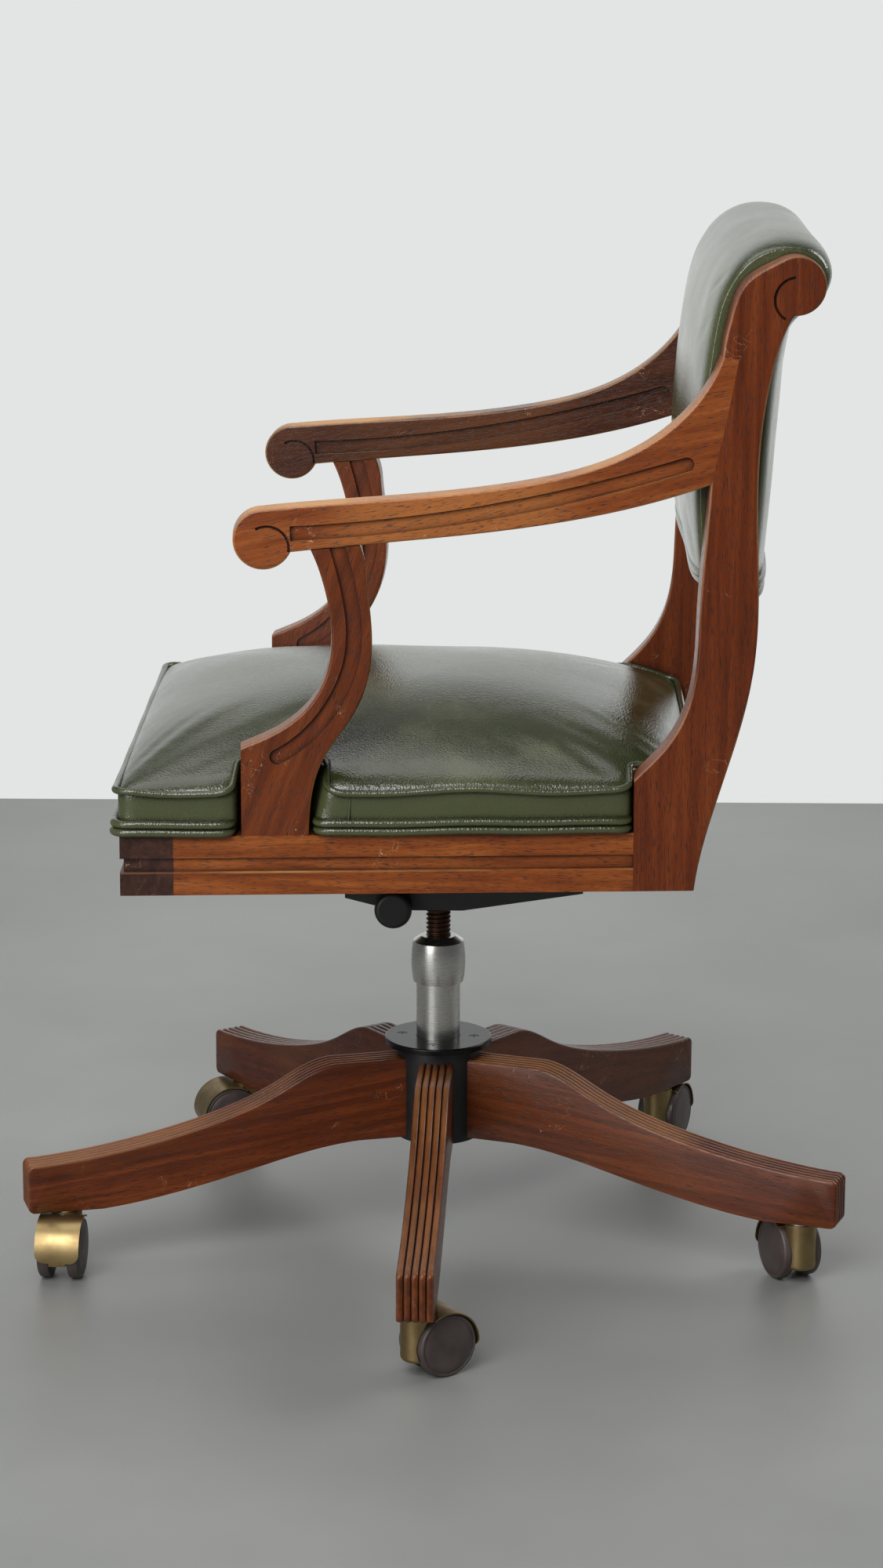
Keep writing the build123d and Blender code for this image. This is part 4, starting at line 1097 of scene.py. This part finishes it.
    def build(self, leather: Material) -> None:
        """Builds the cover, its cords and seams, and dresses them.

        Args:
            leather: The finish of all of them.
        """
        cover = grid_object("seat_cushion_cover", self.cover(), wrap_columns=True)
        inflate(cover, self.voxel, self.fill_cap, self.freedom)
        place_piece(cover, "seat", leather, LEATHER_SLOT, "seat_cushion")
        cords = (
            self.cord("seat_top_piping", proud=0.0006, sunk=0.0034, height=None, radius=self.piping),
            self.cord("seat_welt_upper", 0.0016, 0.0042, self.bottom + self.welt_upper, self.welt),
            self.cord("seat_welt_lower", 0.0022, 0.0046, self.bottom + self.welt_lower, self.welt),
        )
        for piece in (*cords, *(self.border_seam(side) for side in Side)):
            place_piece(piece, "seat", leather, LEATHER_SLOT)


@dataclass
class BackPad:
    """The stuffed back between the posts, rolled back over its crest, with double welts along its foot."""

    plane: SidePlane
    gap: float = 0.0004
    rows: int = 81
    columns: int = 174
    end_closeness: float = 2.4
    welt: float = 0.0032
    welt_reach: float = 0.985
    ripple: float = 0.0007
    ripple_waves: tuple[float, float, float] = (26.0, 12.0, 19.0)
    middle_mm: tuple[tuple[float, float], ...] = (
        (216, 640), (211, 672), (208.5, 706), (208.5, 740), (210.5, 775), (214, 810), (218.5, 845),
        (225, 874), (236, 896), (250, 911), (267, 920), (285, 922.5), (302, 920), (315, 912.5),
        (322.5, 901), (324, 888), (318, 873), (306, 860), (297, 845), (291.5, 820), (288.5, 795),
        (285.5, 755), (283, 717), (280, 677), (277.5, 648), (275, 624), (264, 615), (246, 620), (229, 630),
    )
    inset: float = 0.009
    rear_inset: float = 0.020
    rear_start: float = 0.262
    rear_blend: float = 0.012
    roll_foot: float = 0.875
    roll_blend: float = 0.03
    bluntness: float = 7.0
    rear_bluntness: float = 2.2
    fill_cap: float = 0.003
    held_rim: float = 0.012
    freed_over: float = 0.03
    welts: tuple[tuple[str, int, float, float], ...] = (
        ("back_welt_front_upper", 0, 0.006, -0.0008),
        ("back_welt_front_lower", 0, 0.0, 0.0),
        ("back_welt_rear_upper", 24, -0.010, 0.0008),
        ("back_welt_rear_lower", 24, -0.020, -0.0002),
    )

    def at(self, across: np.ndarray, section: np.ndarray, end: np.ndarray, blunt: np.ndarray) -> np.ndarray:
        """Points of the pad at shares across it: the end section grows into the middle one by a blunt arch.

        Args:
            across: Shares from -1 to 1.
            section: Points of the middle section, depth and height.
            end: The same points of the end section.
            blunt: The arch's power at each point, high where it falls steeply at the ends.

        Returns:
            Shares by points by three coordinates.
        """
        full = np.sqrt(1 - np.abs(across)[:, None] ** blunt[None])[..., None]
        flat = end[None] + full * (section - end)[None]
        depth, height = flat[..., 0], flat[..., 1]
        x = across[:, None] * (self.plane.inner(depth) - self.gap)
        wide, slant, tall = self.ripple_waves
        ripple = self.ripple * np.sin(wide * x + slant * height) * np.sin(tall * height + 2) * full[..., 0]
        return np.stack([x, depth + ripple, height], axis=-1)

    def sections(self) -> tuple[np.ndarray, np.ndarray, np.ndarray]:
        """The middle and end sections as smooth closed curves, and the bluntness between them.

        Returns:
            Points of the middle and of the end section in metres, and the arch's power at each.
        """
        middle = closed_curve(np.array(self.middle_mm) / 1000, self.columns)
        ahead = unit(np.roll(middle, -1, axis=0) - np.roll(middle, 1, axis=0))
        inward = np.stack([ahead[:, 1], -ahead[:, 0]], axis=-1)
        rearward = np.clip((middle[:, 0] - self.rear_start) / self.rear_blend, 0.0, 1.0)
        behind = rearward * np.clip((self.roll_foot - middle[:, 1]) / self.roll_blend, 0.0, 1.0)
        inset = self.inset + (self.rear_inset - self.inset) * behind
        blunt = self.bluntness + (self.rear_bluntness - self.bluntness) * behind
        return middle, middle + inset[:, None] * inward, blunt

    def shares(self) -> np.ndarray:
        """Shares across the pad, closer together near its ends."""
        even = np.linspace(-1.0, 1.0, self.rows)
        return np.sign(even) * (1 - (1 - np.abs(even)) ** self.end_closeness)

    def welt_line(self, name: str, control: int, lift: float, out: float) -> Piece:
        """A sewn cord across the pad, beside one control point of its sections.

        Args:
            name: The piece's name.
            control: The control point that it follows.
            lift: How far above the point it runs.
            out: How far behind the point it runs.

        Returns:
            The piece.
        """
        column = control * self.columns // len(self.middle_mm)
        followed = (values[column:column + 1] for values in self.sections())
        path = self.at(self.shares() * self.welt_reach, *followed)[:, 0] + np.array([0.0, out, lift])
        return grid_object(name, tube_points(path, self.welt, False), wrap_columns=True, capped=True)

    def freedom(self, points: np.ndarray) -> np.ndarray:
        """Share of the filling's movement: none beside the posts, full a short way in."""
        limit = self.plane.inner(points[:, 1]) - self.held_rim
        return np.clip((limit - np.abs(points[:, 0])) / self.freed_over, 0.0, 1.0)

    def build(self, leather: Material) -> None:
        """Builds the pad and its welts, and dresses them.

        Args:
            leather: The finish of all of them.
        """
        points = self.at(self.shares(), *self.sections())
        pad = grid_object("back_pad_cover", points, wrap_columns=True, capped=True)
        inflate(pad, None, self.fill_cap, self.freedom)
        place_piece(pad, "seat", leather, LEATHER_SLOT, "back_pad")
        for row in self.welts:
            place_piece(self.welt_line(*row), "seat", leather, LEATHER_SLOT)


@dataclass
class HeightScrew:
    """The column, its barrel nut and the lifting spindle with its thread."""

    tail: float = 0.1553
    thread_start: float = 0.1653
    top: float = 0.3363
    head: float = 0.3163
    crest: float = 0.0110
    depth: float = 0.0016
    pitch: float = 0.004
    row_step: float = 0.0004
    flank: float = 1.7
    root_flat: float = 0.35
    sides: int = 40
    run_in: float = 0.004
    run_out: float = 0.002

    def thread(self) -> np.ndarray:
        """The spindle as a turned surface whose radius rises and falls once a pitch, one turn for each.

        Returns:
            Rows by sides by three coordinates.
        """
        height = np.concatenate([
            np.linspace(self.tail, self.thread_start, 4)[:-1],
            np.arange(self.thread_start, self.head, self.row_step),
            np.linspace(self.head, self.top, 4),
        ])[:, None]
        angle = ring_angles(self.sides)[None]
        phase = (height - self.thread_start) / self.pitch - angle / (2 * np.pi)
        wave = np.abs(2 * (phase - np.floor(phase + 0.5)))
        ridge = np.clip(self.flank * wave - self.root_flat, 0.0, 1.0)
        rising = np.clip((height - self.thread_start) / self.run_in, 0, 1)
        run = rising * np.clip((self.head - height) / self.run_out, 0, 1)
        radius = self.crest - self.depth + self.depth * ridge * run
        level = np.broadcast_to(height, radius.shape)
        return np.stack([radius * np.cos(angle), radius * np.sin(angle), level], axis=-1)

    def build(self, steel: Material, oiled: Material) -> None:
        """Builds the threaded spindle and dresses the column, nut and guide ring.

        Args:
            steel: The finish of the column, nut and ring.
            oiled: The finish of the thread.
        """
        spindle = grid_object("spindle_thread", self.thread(), wrap_columns=True, capped=True)
        place_piece(spindle, "lift", oiled, "oiled_steel", "spindle")
        dress(steel, "column_tube", "nut_collar", "spindle_stop")


@dataclass
class TiltMechanism:
    """The head, housing, spring tube and tension knob under the seat."""

    painted: tuple[str, ...] = ("spindle_head", "tilt_housing", "tension_tube", "tension_knob")
    bright: tuple[str, ...] = ("tilt_pin", "housing_screws")

    def build(self, paint: Material, steel: Material) -> None:
        """Dresses the mechanism's painted and bright pieces."""
        dress(paint, *self.painted)
        dress(steel, *self.bright)


@dataclass
class Castors:
    """Five twin-wheel castors with brass hoods and bevelled wheels."""

    reach: float = 0.341
    trail: float = 0.020
    radius: float = 0.027
    start: float = 0.0081
    turns: int = 72
    headings: tuple[float, ...] = (123.5, 203.0, 157.0, 290.0, -5.0)
    profile_mm: tuple[tuple[float, float], ...] = (
        (0.0, 0.0), (0.0, 25.8), (0.4, 26.6), (1.2, 27.0), (8.4, 27.0), (9.3, 26.6), (10.2, 25.6),
        (10.3, 24.4), (9.7, 23.9), (9.8, 23.3), (10.4, 22.6), (10.9, 18.0), (11.3, 11.0), (11.5, 4.0),
        (11.5, 0.0),
    )

    def wheel(self, index: int, side: int) -> np.ndarray:
        """A wheel as its half profile turned about the axle.

        Args:
            index: Which castor.
            side: 1 or -1 for the two wheels.

        Returns:
            Profile points by turns by three coordinates.
        """
        heading = math.radians(self.headings[index])
        forward = np.array([math.cos(heading), math.sin(heading), 0.0])
        axle = side * np.array([-math.sin(heading), math.cos(heading), 0.0])
        leg = LEG_ANGLES[index]
        middle = self.reach * np.array([math.cos(leg), math.sin(leg), 0.0]) + self.trail * forward
        middle = middle + self.radius * UPRIGHT
        profile = np.array(self.profile_mm) / 1000
        angle = ring_angles(self.turns)[:, None]
        ring = np.cos(angle) * forward + np.sin(angle) * UPRIGHT
        along = self.start + profile[:, None, None, 0]
        return middle + along * axle + profile[:, None, None, 1] * ring[None]

    def build(self, plastic: Material, brass: Material, steel: Material) -> None:
        """Builds the wheels and dresses the hoods and pins.

        Args:
            plastic: The finish of the wheels.
            brass: The finish of the hoods.
            steel: The finish of the stems and axles.
        """
        for index in range(len(self.headings)):
            label = f"castor_{index + 1}"
            for letter, side in (("a", 1), ("b", -1)):
                node = f"{label}_wheel_{letter}"
                wheel = grid_object(f"{node}_turned", self.wheel(index, side), wrap_columns=True)
                place_piece(wheel, node, plastic, "wheel_plastic", node)
            dress(brass, f"{label}_hood")
            dress(steel, f"{label}_pins")


@dataclass
class Base:
    """The hub with its flange and the five legs, whose tops and tips are worked into round reeds."""

    root: float = 0.0335
    flat_end: float = 0.0992
    under_start: float = 0.0775
    foot_start: float = 0.311
    reach: float = 0.377
    width: float = 0.031
    bottom: float = 0.0578
    root_bottom: float = 0.1013
    top: float = 0.1738
    tip_top: float = 0.1018
    tip_rounding: float = 0.006
    tip_points: int = 9
    crest_shares: tuple[tuple[float, float], ...] = ((0.0, 1.0), (0.19, 0.70), (0.52, 0.27), (1.0, 0.0))
    crest_ends: tuple[tuple[float, float], ...] = ((1.0, -0.12), (1.0, -0.06))
    waist_out: float = 0.36
    waist_bottom: float = 0.42
    waist_root: float = 0.58
    under_ends: tuple[tuple[float, float], ...] = ((-1.0, 0.08), (-1.0, 0.05))
    crest_points: int = 70
    under_points: int = 40
    reeds: int = 5
    reed_points: int = 12
    reed_depth: float = 0.0026
    chin_reeding: float = 0.3
    grain_drop: float = -0.12
    near_tones: tuple[str, str, str] = ("391607", "50220C", "6A3214")
    # The far legs get darker tones and less pale wear as painted shade, standing for the seat's shadow.
    shaded_far_tones: tuple[str, str, str] = ("2E1006", "40180A", "54240F")
    near_rubbed: float = 0.35
    shaded_far_wear: float = 0.12
    far_beyond: float = -0.3
    leg_shift: float = 0.37
    edge_share: float = 0.6

    def crest(self) -> np.ndarray:
        """The leg's upper edge from the flat at the hub down to the tip: a smooth sweep through four points.

        Returns:
            Points along the edge, distance out and height.
        """
        sweep = self.reach - 2 * self.tip_rounding - self.flat_end
        drop = self.top - self.tip_top
        foot = np.array([self.flat_end, self.tip_top])
        points = foot + np.array(self.crest_shares) * np.array([sweep, drop])
        start, end = np.array(self.crest_ends)
        return clamped_curve(points, start, end, self.crest_points)

    def under(self) -> np.ndarray:
        """The leg's lower edge from the foot back up to the root: a smooth sweep through three points.

        Returns:
            Points along the edge, distance out and height.
        """
        waist = self.flat_end + self.waist_out * (self.foot_start - self.flat_end)
        points = np.array([
            [self.foot_start, self.bottom],
            [waist, self.waist_bottom * self.bottom + self.waist_root * self.root_bottom],
            [self.under_start, self.root_bottom],
        ])
        start, end = np.array(self.under_ends)
        return clamped_curve(points, start, end, self.under_points)

    def side_view(self) -> tuple[np.ndarray, np.ndarray]:
        """The leg's outline from the side, and the share of reeding at each of its points.

        Returns:
            The outline's points, and the shares, which fade down the tip.
        """
        crest = self.crest()
        turn = np.linspace(np.pi / 2, 0.0, self.tip_points)
        middle = np.array([self.reach - self.tip_rounding, self.tip_top - self.tip_rounding])
        brow = middle + self.tip_rounding * np.stack([np.cos(turn), np.sin(turn)], axis=-1)
        chin = brow[::-1] * np.array([1.0, -1.0]) + np.array([0.0, self.tip_top + self.bottom])
        root = np.array([[self.root, self.root_bottom], [self.root, self.top]])
        outline = np.vstack([crest, brow[1:], chin, self.under(), root])
        chin_start = len(crest) + len(brow) - 1
        chin_end = chin_start + len(chin)
        reeded = np.zeros(len(outline))
        reeded[:chin_start] = 1.0
        reeded[chin_start:chin_end] = np.linspace(1.0, self.chin_reeding, len(chin))
        reeded[-1] = 1.0
        return outline, reeded

    def leg(self, angle: float) -> np.ndarray:
        """One leg: its side outline carried across the width, let in by round reeds on its top and tip.

        Args:
            angle: Where the leg points, seen from above.

        Returns:
            Rows across the leg by points of the outline by three coordinates.
        """
        outline, reeded = self.side_view()
        ahead = unit(np.roll(outline, -1, axis=0) - np.roll(outline, 1, axis=0))
        inward = np.stack([ahead[:, 1], -ahead[:, 0]], axis=-1)
        inward[-1] = (0.0, -1.0)
        share = np.linspace(0.0, 1.0, self.reeds * self.reed_points + 1)
        reed = share * self.reeds
        bead = 2 * (reed - np.floor(np.minimum(reed, self.reeds - 1e-6))) - 1
        sunk = self.reed_depth * (1 - np.sqrt(np.maximum(1 - bead ** 2, 0.0)))
        flat = outline[None] + sunk[:, None, None] * (reeded[:, None] * inward)[None]
        across = np.broadcast_to(((share - 0.5) * self.width)[:, None], flat.shape[:2])
        x = flat[..., 0] * math.cos(angle) - across * math.sin(angle)
        y = flat[..., 0] * math.sin(angle) + across * math.cos(angle)
        return np.stack([x, y, flat[..., 1]], axis=-1)

    def wood(self, index: int, angle: float) -> Mahogany:
        """One leg's finish, with the grain along it; the legs on the far side get painted shade: darker
        tones and less paleness on their tops.

        Args:
            index: Which leg.
            angle: Where it points, seen from above.

        Returns:
            The finish.
        """
        far = math.cos(angle) < self.far_beyond
        tones = self.shaded_far_tones if far else self.near_tones
        rubbed = self.shaded_far_wear if far else self.near_rubbed
        grain = (math.cos(angle), math.sin(angle), self.grain_drop)
        return Mahogany(f"mahogany_leg_{index + 1}", grain, *tones,
                        shift=self.leg_shift * (index + 1), top_wear_and_light=rubbed,
                        edge_wear_and_highlight=self.edge_share * rubbed)

    def build(self, paint: Material, gloss: Material, steel: Material, bush: Material) -> None:
        """Builds the reeded legs and dresses the hub and its fittings.

        Args:
            paint: The finish of the hub.
            gloss: The finish of the flange and its screws.
            steel: The finish of bolts, sockets and washer.
            bush: The finish of the column's bushes.
        """
        for index, angle in enumerate(LEG_ANGLES):
            leg = grid_object(f"leg_{index + 1}_reeded", self.leg(angle), wrap_columns=True, capped=True)
            place_piece(leg, "base", self.wood(index, angle).make(), "polished_wood", f"leg_{index + 1}")
        dress(paint, "hub_tube")
        dress(gloss, "hub_flange", "flange_screws")
        dress(steel, "leg_bolts", "castor_sockets", "thrust_washer")
        dress(bush, "column_bushes")


@dataclass
class SeatFrame:
    """The seat rails and the two side frames with their arms, supports and posts."""

    # Height of the pale line along the side rails' lower fascia: a painted highlight where its top edge
    # catches the light, with some wear.
    arris_height: float = RAIL_TOP - 0.0308
    side_shift: float = 0.9
    near_arm: tuple[str, str, str] = ("5A260E", "763A17", "8C4C22")
    far_arm: tuple[str, str, str] = ("2E1408", "3E1E10", "502B17")
    near_faded: float = 0.6
    far_faded: float = 0.1

    def side_woods(self, side: Side) -> dict[str, Mahogany]:
        """The finishes of one side frame and its rail; the far arm is darker and less faded.

        Args:
            side: The side of the chair.

        Returns:
            Each node's name and its finish.
        """
        near = side is Side.EAST
        label = side.label
        shift = 0.0 if near else self.side_shift
        arm_tones = self.near_arm if near else self.far_arm
        # Hands rub the arms pale along the top, clothes rub the rails, and supports and posts stay deep; the
        # pale tops and edges also carry painted light, and a painted highlight runs along each rail's lower
        # fascia.
        return {
            f"arm_{label}": Mahogany(
                f"mahogany_arm_{label}", Heading.ARM.value, *arm_tones, "C08E58",
                shift=0.11 + shift, top_wear_and_light=0.75, edge_wear_and_highlight=0.55,
                faded_share=self.near_faded if near else self.far_faded),
            f"arm_support_{label}": Mahogany(
                f"mahogany_support_{label}", Heading.SUPPORT.value, "4A1F0B", "5C290F", "703615", "A9743F",
                shift=0.53 + shift, top_wear_and_light=0.2, edge_wear_and_highlight=0.45),
            f"back_post_{label}": Mahogany(
                f"mahogany_post_{label}", Heading.UP.value, "481D09", "5C270E", "703514", "B9875A",
                shift=0.29 + shift, top_wear_and_light=0.3, edge_wear_and_highlight=0.5),
            f"side_rail_{label}": Mahogany(
                f"mahogany_rail_{label}", Heading.BACKWARDS.value, "5A270D", "783C16", "925224", "B98A52",
                shift=0.71 + shift, top_wear_and_light=0.5, edge_wear_and_highlight=0.3, arris_height=self.arris_height),
        }

    def build(self, plain: Material) -> None:
        """Dresses each wooden piece with the grain along it.

        Args:
            plain: The finish of the hidden woodwork.
        """
        woods = {
            **self.side_woods(Side.EAST),
            **self.side_woods(Side.WEST),
            # The end grain of the front rail drinks the polish, so that its corner reads nearly black.
            "front_rail": Mahogany(
                "mahogany_front_rail", Heading.ACROSS.value, "22120D", "351F19", "4A2C20", "8A5B3C",
                shift=0.2, top_wear_and_light=0.3, edge_wear_and_highlight=0.0, arris_height=self.arris_height),
            "back_rail": Mahogany("mahogany_back_rail", Heading.ACROSS.value, shift=0.4),
        }
        for node, wood in woods.items():
            dress(wood.make(), node)
        dress(plain, "corner_blocks", "seat_board", "seat_battens", "crest_rail", "lower_back_rail")


@dataclass(frozen=True)
class Lamp:
    """One large square lamp that faces the chair."""

    name: str
    place: tuple[float, float, float]
    size: float
    power: float
    aim: tuple[float, float, float] = (0.0, 0.0, 0.5)

    def hang(self) -> None:
        """Hangs the lamp in the scene."""
        data = bpy.data.lights.new(self.name, "AREA")
        data.size = self.size
        data.energy = self.power
        lamp = bpy.data.objects.new(self.name, data)
        place = Vector(self.place)
        towards = Vector(self.aim) - place
        lamp.matrix_world = Matrix.Translation(place) @ towards.to_track_quat("-Z", "Y").to_matrix().to_4x4()
        bpy.context.scene.collection.objects.link(lamp)


@dataclass
class Studio:
    """The camera at the photographed angle, soft lamps, a grey floor and a pale wall."""

    place: tuple[float, float, float] = (3.390467, 0.049923, 1.224796)
    pitch: float = math.radians(13.3254)
    yaw: float = math.radians(-0.80217)
    roll: float = math.radians(0.138367)
    lens: float = 90.213
    sensor: float = 36.0
    wall: float = -1.682
    wall_half: float = 6.0
    wall_height: float = 4.0
    wall_middle: float = 0.6
    floor_half: float = 30.0
    floor_clouds_per_metre: float = 2.2
    backdrop: float = 0.82
    lamps: tuple[Lamp, ...] = (
        Lamp("overhead", (-0.3, -0.5, 2.7), 2.0, 24.0),
        Lamp("near_side", (2.8, -0.9, 2.7), 2.2, 122.0),
        Lamp("window", (3.2, -2.3, 1.2), 2.0, 52.0),
        Lamp("far_fill", (-1.2, 2.2, 2.1), 1.6, 46.0),
    )

    def camera(self) -> None:
        """Sets the camera from its place, its yaw and pitch, and a slight roll."""
        level = np.array([-math.cos(self.yaw), math.sin(self.yaw), 0.0])
        beside = np.array([math.sin(self.yaw), math.cos(self.yaw), 0.0])
        ahead = math.cos(self.pitch) * level - math.sin(self.pitch) * UPRIGHT
        up = math.sin(self.pitch) * level + math.cos(self.pitch) * UPRIGHT
        right = math.cos(self.roll) * beside + math.sin(self.roll) * up
        crown = -math.sin(self.roll) * beside + math.cos(self.roll) * up
        data = bpy.data.cameras.new("camera")
        data.sensor_fit = "VERTICAL"
        data.sensor_height = self.sensor
        data.lens = self.lens
        eye = bpy.data.objects.new("camera", data)
        turned = Matrix((right, crown, -ahead)).transposed().to_4x4()
        eye.matrix_world = Matrix.Translation(Vector(self.place)) @ turned
        bpy.context.scene.collection.objects.link(eye)
        bpy.context.scene.camera = eye

    def floor_finish(self) -> Material:
        """Power-floated grey concrete: soft clouds and a faint sheen that blurs what it mirrors.

        Returns:
            The material.
        """
        material, tree, shader = blank("floated_concrete", Roughness=0.42)
        place = add(tree, "ShaderNodeTexCoord").outputs["Object"]
        cloud = add(tree, "ShaderNodeTexNoise", {
            "Vector": place, "Scale": self.floor_clouds_per_metre, "Detail": 5.0, "Roughness": 0.6,
        }).outputs["Fac"]
        tone = add(tree, "ShaderNodeValToRGB", {"Fac": cloud}, stops=[(0.3, "737472"), (0.7, "7F807E")])
        tree.links.new(tone.outputs["Color"], shader.inputs["Base Color"])
        return material

    def wall_finish(self) -> Material:
        """White emulsion: an even pale ground to the camera; in reflections it glows as painted light,
        brightest round a middle spot and fading outwards; clear from behind.

        Returns:
            The material.
        """
        material = bpy.data.materials.new("white_emulsion")
        material.use_nodes = True
        tree = material.node_tree
        tree.nodes.clear()
        path = add(tree, "ShaderNodeLightPath").outputs
        seen = add(tree, "ShaderNodeMath", {
            0: path["Is Camera Ray"], 1: path["Is Glossy Ray"],
        }, operation="MAXIMUM").outputs[0]
        paint = add(tree, "ShaderNodeBsdfDiffuse", {"Color": linear("E4E6E5")}).outputs[0]
        place = add(tree, "ShaderNodeTexCoord").outputs["Object"]
        away = add(tree, "ShaderNodeVectorMath", {
            0: place, 1: (self.wall, 0.0, self.wall_middle),
        }, operation="DISTANCE")
        # Painted light in reflections: the wall glows brightest round a middle spot, above white, and dims
        # outwards.
        shaded = add(tree, "ShaderNodeMapRange", {
            "Value": away.outputs["Value"], "From Min": 0.6, "From Max": 1.5, "To Min": 1.25, "To Max": 0.3,
        }).outputs[0]
        level = add(tree, "ShaderNodeMapRange", {
            "Value": path["Is Camera Ray"], "To Min": shaded, "To Max": 1.0,
        }).outputs[0]
        ground = add(tree, "ShaderNodeEmission", {"Color": linear("E3E5E4"), "Strength": level}).outputs[0]
        front = add(tree, "ShaderNodeMixShader", {0: seen, 1: paint, 2: ground}).outputs[0]
        back = add(tree, "ShaderNodeBsdfTransparent").outputs[0]
        behind = add(tree, "ShaderNodeNewGeometry").outputs["Backfacing"]
        mixed = add(tree, "ShaderNodeMixShader", {0: behind, 1: front, 2: back}).outputs[0]
        add(tree, "ShaderNodeOutputMaterial", {"Surface": mixed})
        return material

    def sheet(self, name: str, corners: tuple[tuple[float, float, float], ...], finish: Material) -> None:
        """Lays one flat sheet of the stage between four corners.

        Args:
            name: The sheet's name.
            corners: Its corners in order.
            finish: Its material.
        """
        mesh = bpy.data.meshes.new(name)
        mesh.from_pydata(list(corners), [], [(0, 1, 2, 3)])
        mesh.materials.append(finish)
        piece = bpy.data.objects.new(name, mesh)
        bpy.context.scene.collection.objects.link(piece)

    def sky(self) -> bpy.types.World:
        """Soft room light, bright above and on the far side, dim on the camera's side, even to the camera.

        Returns:
            The world.
        """
        world = bpy.data.worlds.new("room_light")
        world.use_nodes = True
        tree = world.node_tree
        direction = add(tree, "ShaderNodeTexCoord").outputs["Generated"]
        way = add(tree, "ShaderNodeSeparateXYZ", {"Vector": direction}).outputs
        far = add(tree, "ShaderNodeMapRange", {
            "Value": way["X"], "From Min": 0.1, "From Max": -0.6, "To Min": 0.17, "To Max": 0.45,
        }).outputs[0]
        high = add(tree, "ShaderNodeMapRange", {
            "Value": way["Z"], "From Min": 0.2, "To Max": 0.22,
        }).outputs[0]
        lit = add(tree, "ShaderNodeMath", {0: far, 1: high}, operation="MAXIMUM").outputs[0]
        seen = add(tree, "ShaderNodeLightPath").outputs["Is Camera Ray"]
        level = add(tree, "ShaderNodeMapRange", {
            "Value": seen, "To Min": lit, "To Max": self.backdrop,
        }).outputs[0]
        background = tree.nodes["Background"]
        tree.links.new(level, background.inputs["Strength"])
        background.inputs["Color"].default_value = linear("F2F4F6")
        return world

    def build(self) -> None:
        """Sets up the camera, stage, lamps, sky and view transform."""
        self.camera()
        far, half, high = self.floor_half, self.wall_half, self.wall_height
        floor = ((-far, -far, 0), (far, -far, 0), (far, far, 0), (-far, far, 0))
        wall = tuple((self.wall, y, z) for y, z in ((-half, 0), (half, 0), (half, high), (-half, high)))
        self.sheet("floor", floor, self.floor_finish())
        self.sheet("wall", wall, self.wall_finish())
        for lamp in self.lamps:
            lamp.hang()
        bpy.context.scene.world = self.sky()
        bpy.context.scene.view_settings.view_transform = "Standard"


# Bright and nearly even, with fine rings that break the highlight on the column into thin lines.
TURNED_STEEL = Metal("turned_steel", "C2C1BD", "A3A099",
                     roughness=0.26, stain_share=0.15, ring_mm=0.8, bump=0.13)
# Brown and blotched with old oil, so that the thread reads as dark metal with dull crests.
OILED_STEEL = Metal("oiled_thread_steel", "5A4334", "2C1D14",
                    roughness=0.42, stain_share=0.7, ring_mm=3.0, bump=0.2)
# A muted yellow under lacquer with brown patches, soft highlights and hardly any tool marks.
LACQUERED_BRASS = Metal("lacquered_brass", "938059", "705A3E",
                        roughness=0.36, stain_share=0.6, ring_mm=2.0, bump=0.06)
# A deep satin black with a thin grey film of dust.
STOVE_ENAMEL = Coating("black_stove_enamel", "0E0E0F", "2A2A2A", roughness=0.42)
# A smoother, cleaner black whose weak, sharp reflections set the flange off from the hub.
GLOSS_ENAMEL = Coating("black_gloss_enamel", "0B0B0C", "1E1E1E",
                       roughness=0.2, peel_mm=4.0, dust_share=0.05, shine=0.18)
# Warm dark grey with a fine moulded skin, dusty from the floor.
MOULDED_NYLON = Coating("moulded_nylon", "3A302E", "5A504C", roughness=0.36, peel_mm=1.2, dust_share=0.3)
# Off-white and soft, a plain bearing plastic.
ACETAL = Coating("acetal", "D8D6CE", "B8B5AA", roughness=0.45)
# Pale, unworn wood with the same open figure, for what the upholstery hides.
PLANED_BEECH = Mahogany("planed_beech", Heading.ACROSS.value, "8A633F", "A67B50", "BC935F", "C9A477",
                        shift=0.6, top_wear_and_light=0.0, edge_wear_and_highlight=0.0)


def main() -> None:
    """Builds and dresses the chair, sub-assembly by sub-assembly."""
    logging.basicConfig(level=logging.INFO, format="%(name)s: %(message)s")
    steel = TURNED_STEEL.make()
    paint = STOVE_ENAMEL.make()
    leather = OliveLeather().make()
    plane = SidePlane()
    Studio().build()
    Base().build(paint, GLOSS_ENAMEL.make(), steel, ACETAL.make())
    Castors().build(MOULDED_NYLON.make(), LACQUERED_BRASS.make(), steel)
    HeightScrew().build(steel, OILED_STEEL.make())
    TiltMechanism().build(paint, steel)
    SeatFrame().build(PLANED_BEECH.make())
    SeatCushion(plane).build(leather)
    BackPad(plane).build(leather)


if __name__ == "__main__":
    main()
